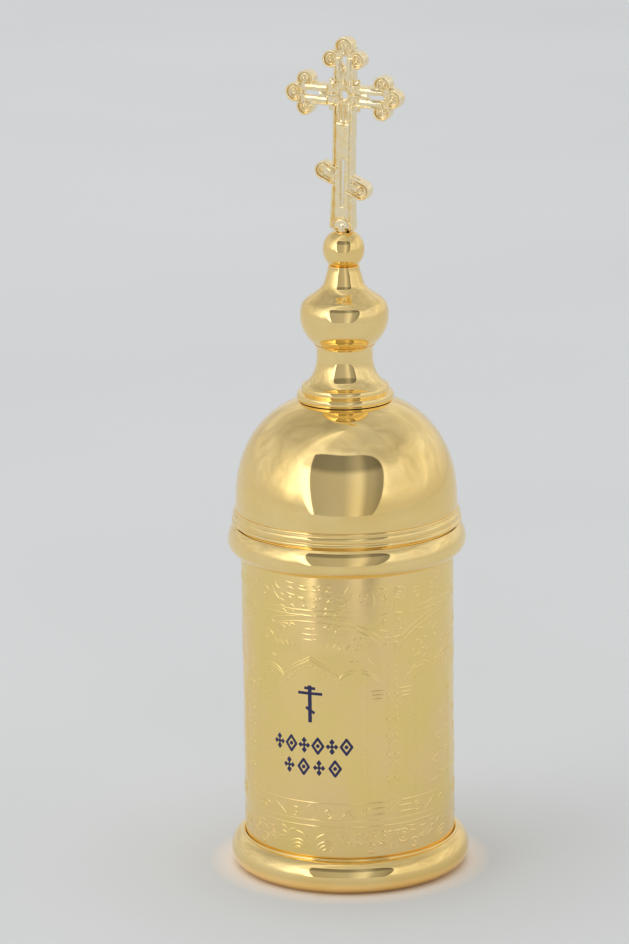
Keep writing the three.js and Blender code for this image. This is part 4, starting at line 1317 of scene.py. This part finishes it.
def cast_solid(shells, cutters, voxel):
    """Casts overlapping shells into one skin, cuts the openings and softens the edges."""
    solid, cutter = made = [
        bpy.data.objects.new(name, bpy.data.meshes.new(name)) for name in ("shells", "cutters")
    ]
    for piece, bm in zip(made, (shells, cutters)):
        bmesh.ops.recalc_face_normals(bm, faces=bm.faces)
        bm.to_mesh(piece.data)
        bm.free()
        bpy.context.scene.collection.objects.link(piece)
    remesh = {"mode": "VOXEL", "voxel_size": voxel}
    for kind, settings in (
        ("REMESH", remesh), ("BOOLEAN", {"operation": "DIFFERENCE", "solver": "EXACT", "object": cutter}),
        ("REMESH", remesh), ("SMOOTH", {"factor": 0.5, "iterations": 2}),
    ):
        modifier = solid.modifiers.new(kind, kind)
        for key, value in settings.items():
            setattr(modifier, key, value)
    result = bmesh.new()
    result.from_mesh(solid.evaluated_get(bpy.context.evaluated_depsgraph_get()).to_mesh())
    for piece in made:
        mesh = piece.data
        bpy.data.objects.remove(piece)
        bpy.data.meshes.remove(mesh)
    return result


class VESSEL_OT_cross(bpy.types.Operator):
    """The cast cross: openwork, with trefoil ends, a slanted lower bar and a tang in the ball."""

    bl_idname = "vessel.cross"
    bl_label = "Cross"

    def execute(self, context):
        def on_floor(x, y, z):
            return Vector((x, y, FLOOR + z)) * MM

        seat = extent("finial_ball")[1] + STANDOFF
        body = Strokes(on_floor, RIM, FACE - FLOOR)
        cross_core(body.bm, extent("cross")[0] - seat)
        body.stroke(line((0, 22.4), (0, 0.5), 30), rise=0.55, profile=FIELD)
        cutters = bmesh.new()
        cross_openings(cutters)
        solid = cast_solid(body.bm, cutters, context.scene.vessel_sizes.cast_voxel)
        cast = Strokes(on_floor, RIM, FACE - FLOOR, CREST)
        for turn, reach, inset, half in ENDS:
            trefoil(cast, turn, reach, inset, half)
        for part in (arm_bars, crossing, pendant, stem_and_slant):
            part(cast)
        ornament = bpy.data.meshes.new("ornament")
        cast.done().to_mesh(ornament)
        cast.bm.free()
        solid.from_mesh(ornament)
        bpy.data.meshes.remove(ornament)
        place = placed((0, 0, seat * MM), (LEAN, "Y"), (90, "X"))
        bmesh.ops.transform(solid, matrix=place, verts=solid.verts)
        add_piece("cast_cross", solid, cast_gilding, "lid", "cross", sharp=55)
        return {"FINISHED"}


# Vial and stopper


SLIM_HOLE = 1.25


class VESSEL_OT_vial(bpy.types.Operator):
    """The blown glass vial."""

    bl_idname = "vessel.vial"
    bl_label = "Vial"

    def execute(self, context):
        base, top, radius = extent("glass_vial")
        wall, floor, corner, push, bore, neck_wall, lip_radius = 1.6, 2.4, 2.5, 0.6, 7.6, 1.4, 10.4
        neck_low, shoulder_low, lip_low, lip, mouth = top - 10, top - 21, top - 3.2, 0.9, 0.6
        neck, inner, rim = bore + neck_wall, radius - wall, lip_radius - lip
        section = Section(0, base + push)
        section.curve((radius / 2, base + push), (radius - 2 * corner, base), (radius - corner, base), 10)
        section.arc((radius - corner, base + corner), (corner, corner), -90, 0)
        section.to((radius, shoulder_low))
        section.curve((radius, shoulder_low + 7.15), (neck, neck_low - 4.4), (neck, neck_low), 22)
        section.to((neck, lip_low), (rim, lip_low))
        section.arc((rim, lip_low + lip), (lip, lip), -90, 0, 8)
        section.arc((rim, top - lip), (lip, lip), 0, 90, 8)
        section.arc((bore + mouth, top - mouth), (mouth, mouth), 90, 180, 6)
        section.to((bore, neck_low))
        section.curve((bore, neck_low - 6), (inner, shoulder_low + 5.55), (inner, shoulder_low), 22)
        soft, middle = corner - wall / 2, base + floor + 0.3
        section.arc((inner - soft, base + floor + soft), (soft, soft), 0, -90)
        section.curve((radius / 2, base + floor), (radius / 4, middle), (0, middle), 10)
        steps = context.scene.vessel_sizes.turned_segments * 2 // 3
        add_turned(
            "blown_vial", section, clear_glass, "vial", "glass_vial", steps=steps, edge=0, sharp=50
        )
        return {"FINISHED"}


def cap_section():
    """Stopper cap: a flange with a slim waist under a round knob."""
    base, top, radius = extent("stopper_cap")
    flange, waist, knob, share, pocket = 1.8, 4.0, 5.6, 0.6, 3.05
    swell, shelf = top - knob, base + flange
    section = Section(SLIM_HOLE, base).to((radius, base), (radius, base + share * flange))
    section.curve((radius, shelf), (radius - 0.3, shelf), (radius - 0.72, shelf), 6)
    middle = base + (flange + swell - base) / 2
    section.curve((waist + 1.5, shelf), (waist, shelf + 0.5), (waist, middle), 14)
    section.curve((waist, swell - 0.6), (knob, swell), (knob, (swell + top) / 2), 14)
    section.curve((knob, top - 1.1), (knob * 0.6, top), (0, top), 16)
    return section.to((0, base + pocket), (SLIM_HOLE, base + pocket))


class VESSEL_OT_stopper(bpy.types.Operator):
    """The stopper: gilt cap, cork, and the anointing rod with its bound swab."""

    bl_idname = "vessel.stopper"
    bl_label = "Stopper"

    def execute(self, context):
        add_turned("knobbed_cap", cap_section(), satin_gilding, "stopper", "stopper_cap", steps=96)
        base, top, reach = extent("stopper_plug")
        taper, soft, bevel = 0.4, 0.4, 0.3
        narrow = reach - taper
        cork = Section(SLIM_HOLE, base).to((narrow - soft, base))
        cork.curve((narrow, base), (narrow, base + soft), (narrow, base + 2 * soft), 6)
        cork.to((reach, top), (SLIM_HOLE, top))
        add_turned("cork", cork, natural_cork, "stopper", "stopper_plug", steps=96, edge=0)
        base, top, reach = extent("anointing_rod")
        rod = Section(0, base).to((reach - bevel, base), (reach, base + bevel), (reach, top), (0, top))
        add_turned("slim_rod", rod, satin_gilding, "stopper", "anointing_rod", steps=32)
        add_piece("bound_swab", bound_swab(), cotton_wick, "stopper", "anointing_swab", sharp=70)
        return {"FINISHED"}


def bound_swab():
    """Cotton bound round the rod's end: a soft belly with wound ridges, tied at its throat."""
    base, top, reach = extent("anointing_swab")
    throat, pocket, winds, ridge, widest = 1.8, 4.05, 9, 0.14, 0.42
    sides, levels, least = 48, 72, 0.2
    bm = bmesh.new()
    rings = []
    for t in (level / levels for level in range(1, levels + 1)):
        if t < widest:
            belly = math.sin(math.pi * 0.5 * t / widest)
        else:
            belly = 1 - (1 - throat / reach) * ((t - widest) / (1 - widest)) ** 2.2
        depth = ridge * min(1, 4 * t, 6 * (1 - t))
        rings.append(level_ring(bm, sides, base + (top - base) * t, lambda turn: max(
            (reach - ridge) * belly + depth * math.cos(FULL_TURN * (winds * t - turn)), least
        )))
    for height in (top, top - pocket):
        rings.append(level_ring(bm, sides, height, lambda turn: SLIM_HOLE))
    loft(bm, rings, ends=False)
    for ring, height in ((rings[0], base), (rings[-1], top - pocket)):
        pole = bm.verts.new((0, 0, height * MM))
        for a in range(sides):
            bm.faces.new((ring[a], ring[(a + 1) % sides], pole))
    bmesh.ops.recalc_face_normals(bm, faces=bm.faces)
    return bm


# Stage


# The camera stands this many degrees to the right of the front; lengths of the stage are in metres
TURN = 21.0
GROUND_RADIUS, GROUND_BEHIND = 1.35, 0.7
LAMP_SIZE, LAMP_WATTS, LAMP_PLACE, LAMP_AIM = 4.2, 52.0, (-0.5, 0.1, 3.0), (0, 0, 0.08)
LENS, SENSOR = 180.8, 36
CAMERA_PLACE = (0.3404, -0.8868, 0.3304)
CAMERA_TURNS = ((21.394, "Z"), (90 - 14.527, "X"), (-0.756, "Z"))

# The tent's opening, in degrees: its middle, its half height, and its half widths at two elevations
OPENING_MIDDLE, OPENING_HALF_HEIGHT = (-5, 20.5), 34.5
OPENING_ENDS, OPENING_HALF_WIDTHS, OPENING_CORNERS = (-14, 57), (35.5, 60.5), 3.3

# Brightness of the cloth by azimuth in degrees, and of cloth and room by their share of a range
CLOTH = (
    (-180, 0.68), (-130, 0.62), (-95, 0.68), (-76, 0.88), (-63, 1.35), (-48, 1.2), (-30, 0.92),
    (30, 0.85), (60, 0.8), (130, 0.8), (180, 0.7),
)
FADE = ((0, 1), (0.3, 1), (0.55, 0.72), (0.75, 0.68), (1, 0.75))
ROOM = (
    (0, 1.8), (0.05, 2.1), (0.11, 2.1), (0.13, 0.44), (0.5, 0.5), (0.7, 0.8), (0.82, 0.42), (1, 0.28),
)
CEILING = ((0, 1), (0.33, 1), (0.42, 0.5), (1, 0.4))


def tent_light(add):
    """Brightness of a white cloth tent with a rounded opening towards the camera, by direction."""
    direction = add("Mapping", {
        "Vector": add("TexCoord", out="Generated"), "Rotation": (0, 0, math.radians(-TURN)),
    })
    x, y, z = (add("SeparateXYZ", (direction,), axis) for axis in "XYZ")
    ahead = add("Math", (y, -1), operation="MULTIPLY")
    azimuth = add("Math", (add("Math", (x, ahead), operation="ARCTAN2"),), operation="DEGREES")
    elevation = add("Math", (add("Math", (z,), operation="ARCSINE"),), operation="DEGREES")
    height_share = add("MapRange", (elevation, 0, 90, 0, 1))
    cloth = add(
        "ValToRGB", (add("MapRange", (azimuth, -180, 180, 0, 1)),),
        stops=[((degrees + 180) / 360, brightness) for degrees, brightness in CLOTH],
    )
    folds = add("TexNoise", {"Vector": direction, "Scale": 2.2, "Detail": 3.0, "Distortion": 1.2})
    reach = add("MapRange", (elevation, *OPENING_ENDS, *OPENING_HALF_WIDTHS))
    across, upward = (
        add("Math", (add("Math", (angle, middle), operation="SUBTRACT"), half), operation="DIVIDE")
        for angle, middle, half in (
            (azimuth, OPENING_MIDDLE[0], reach), (elevation, OPENING_MIDDLE[1], OPENING_HALF_HEIGHT),
        )
    )
    corner = add("Math", tuple(
        add("Math", (add("Math", (way,), operation="ABSOLUTE"), OPENING_CORNERS), operation="POWER")
        for way in (across, upward)
    ), operation="ADD")
    room = add(
        "Math",
        (
            add("ValToRGB", (add("MapRange", (across, -1, 1, 0, 1)),), stops=ROOM),
            add("ValToRGB", (height_share,), stops=CEILING),
        ),
        operation="MULTIPLY",
    )
    for factor in (
        add("ValToRGB", (height_share,), stops=FADE), add("MapRange", (folds, 0.3, 0.7, 0.8, 1.18)),
        add("MapRange", (corner, 1.0, 1.5, 1.18, 1.0)), 1.02,
    ):
        cloth = add("Math", (cloth, factor), operation="MULTIPLY")
    over_floor = add("MapRange", (elevation, -2, 9, 0, 1))
    tent = add("Mix", {"Factor": over_floor, "A": 0.645, "B": cloth}, data_type="FLOAT")
    inside = add("MapRange", (corner, 0.93, 1.03, 1, 0))
    return add("Mix", {"Factor": inside, "A": tent, "B": room}, data_type="FLOAT")


class VESSEL_OT_stage(bpy.types.Operator):
    """The pale floor, the light of a cloth tent and the camera."""

    bl_idname = "vessel.stage"
    bl_label = "Stage"

    def execute(self, context):
        scene = context.scene
        bm = bmesh.new()
        middle = placed((0, 0, 0), (TURN, "Z")) @ placed((0, GROUND_BEHIND, 0))
        bmesh.ops.create_circle(bm, cap_ends=True, segments=96, radius=GROUND_RADIUS, matrix=middle)
        mesh = bpy.data.meshes.new("floor")
        bm.to_mesh(mesh)
        bm.free()
        mesh.materials.append(finish_of(pale_surface))
        floor = bpy.data.objects.new("floor", mesh)
        lamp = bpy.data.lights.new("soft_top", "AREA")
        lamp.shape = "DISK"
        lamp.size = LAMP_SIZE
        lamp.energy = LAMP_WATTS
        lamp_object = bpy.data.objects.new("soft_top", lamp)
        lamp_object.location = LAMP_PLACE
        aim = Vector(LAMP_AIM) - Vector(LAMP_PLACE)
        lamp_object.rotation_euler = aim.to_track_quat("-Z", "Y").to_euler()
        lamp_object.visible_glossy = False
        camera = bpy.data.cameras.new("camera")
        camera.lens = LENS
        camera.sensor_width = SENSOR
        viewer = bpy.data.objects.new("camera", camera)
        viewer.matrix_world = placed(CAMERA_PLACE, *CAMERA_TURNS)
        for made in (floor, lamp_object, viewer):
            scene.collection.objects.link(made)
        self.light_world(scene)
        scene.camera = viewer
        scene.view_settings.view_transform = "Standard"
        return {"FINISHED"}

    def light_world(self, scene):
        """Lights the scene by direction; the camera sees the plain colour of the floor instead."""
        world = bpy.data.worlds.new("tent")
        scene.world = world
        world.use_nodes = True
        world.node_tree.nodes.clear()
        add = partial(node, world.node_tree)
        light = add("Background", {"Color": tent_light(add), "Strength": 1.0})
        plain = add("Background", {"Color": scene.vessel_colours.backdrop, "Strength": 1.0})
        mix = add("MixShader", (add("LightPath", out="Is Camera Ray"), light, plain))
        add("OutputWorld", {"Surface": mix})


# Add-on


OPERATORS = (
    VESSEL_OT_case, VESSEL_OT_relief, VESSEL_OT_mark, VESSEL_OT_fittings, VESSEL_OT_dome,
    VESSEL_OT_finial, VESSEL_OT_cross, VESSEL_OT_vial, VESSEL_OT_stopper, VESSEL_OT_stage,
)


class VESSEL_PT_panel(bpy.types.Panel):
    """Lists the vessel's pieces, sizes and colours."""

    bl_idname = "VESSEL_PT_panel"
    bl_label = "Chrism Vessel"
    bl_space_type = "VIEW_3D"
    bl_region_type = "UI"
    bl_category = "Chrism Vessel"

    def draw(self, context):
        for operator in OPERATORS:
            self.layout.operator(operator.bl_idname)
        for group in (context.scene.vessel_sizes, context.scene.vessel_colours):
            for name in group.__annotations__:
                self.layout.prop(group, name)


CLASSES = (VesselSizes, VesselColours, *OPERATORS, VESSEL_PT_panel)


def register():
    for each in CLASSES:
        bpy.utils.register_class(each)
    bpy.types.Scene.vessel_sizes = PointerProperty(type=VesselSizes)
    bpy.types.Scene.vessel_colours = PointerProperty(type=VesselColours)


def unregister():
    del bpy.types.Scene.vessel_colours
    del bpy.types.Scene.vessel_sizes
    for each in reversed(CLASSES):
        bpy.utils.unregister_class(each)


def main():
    register()
    for operator in OPERATORS:
        group, name = operator.bl_idname.split(".")
        getattr(getattr(bpy.ops, group), name)()
    bpy.context.view_layer.update()


if __name__ == "__main__":
    main()
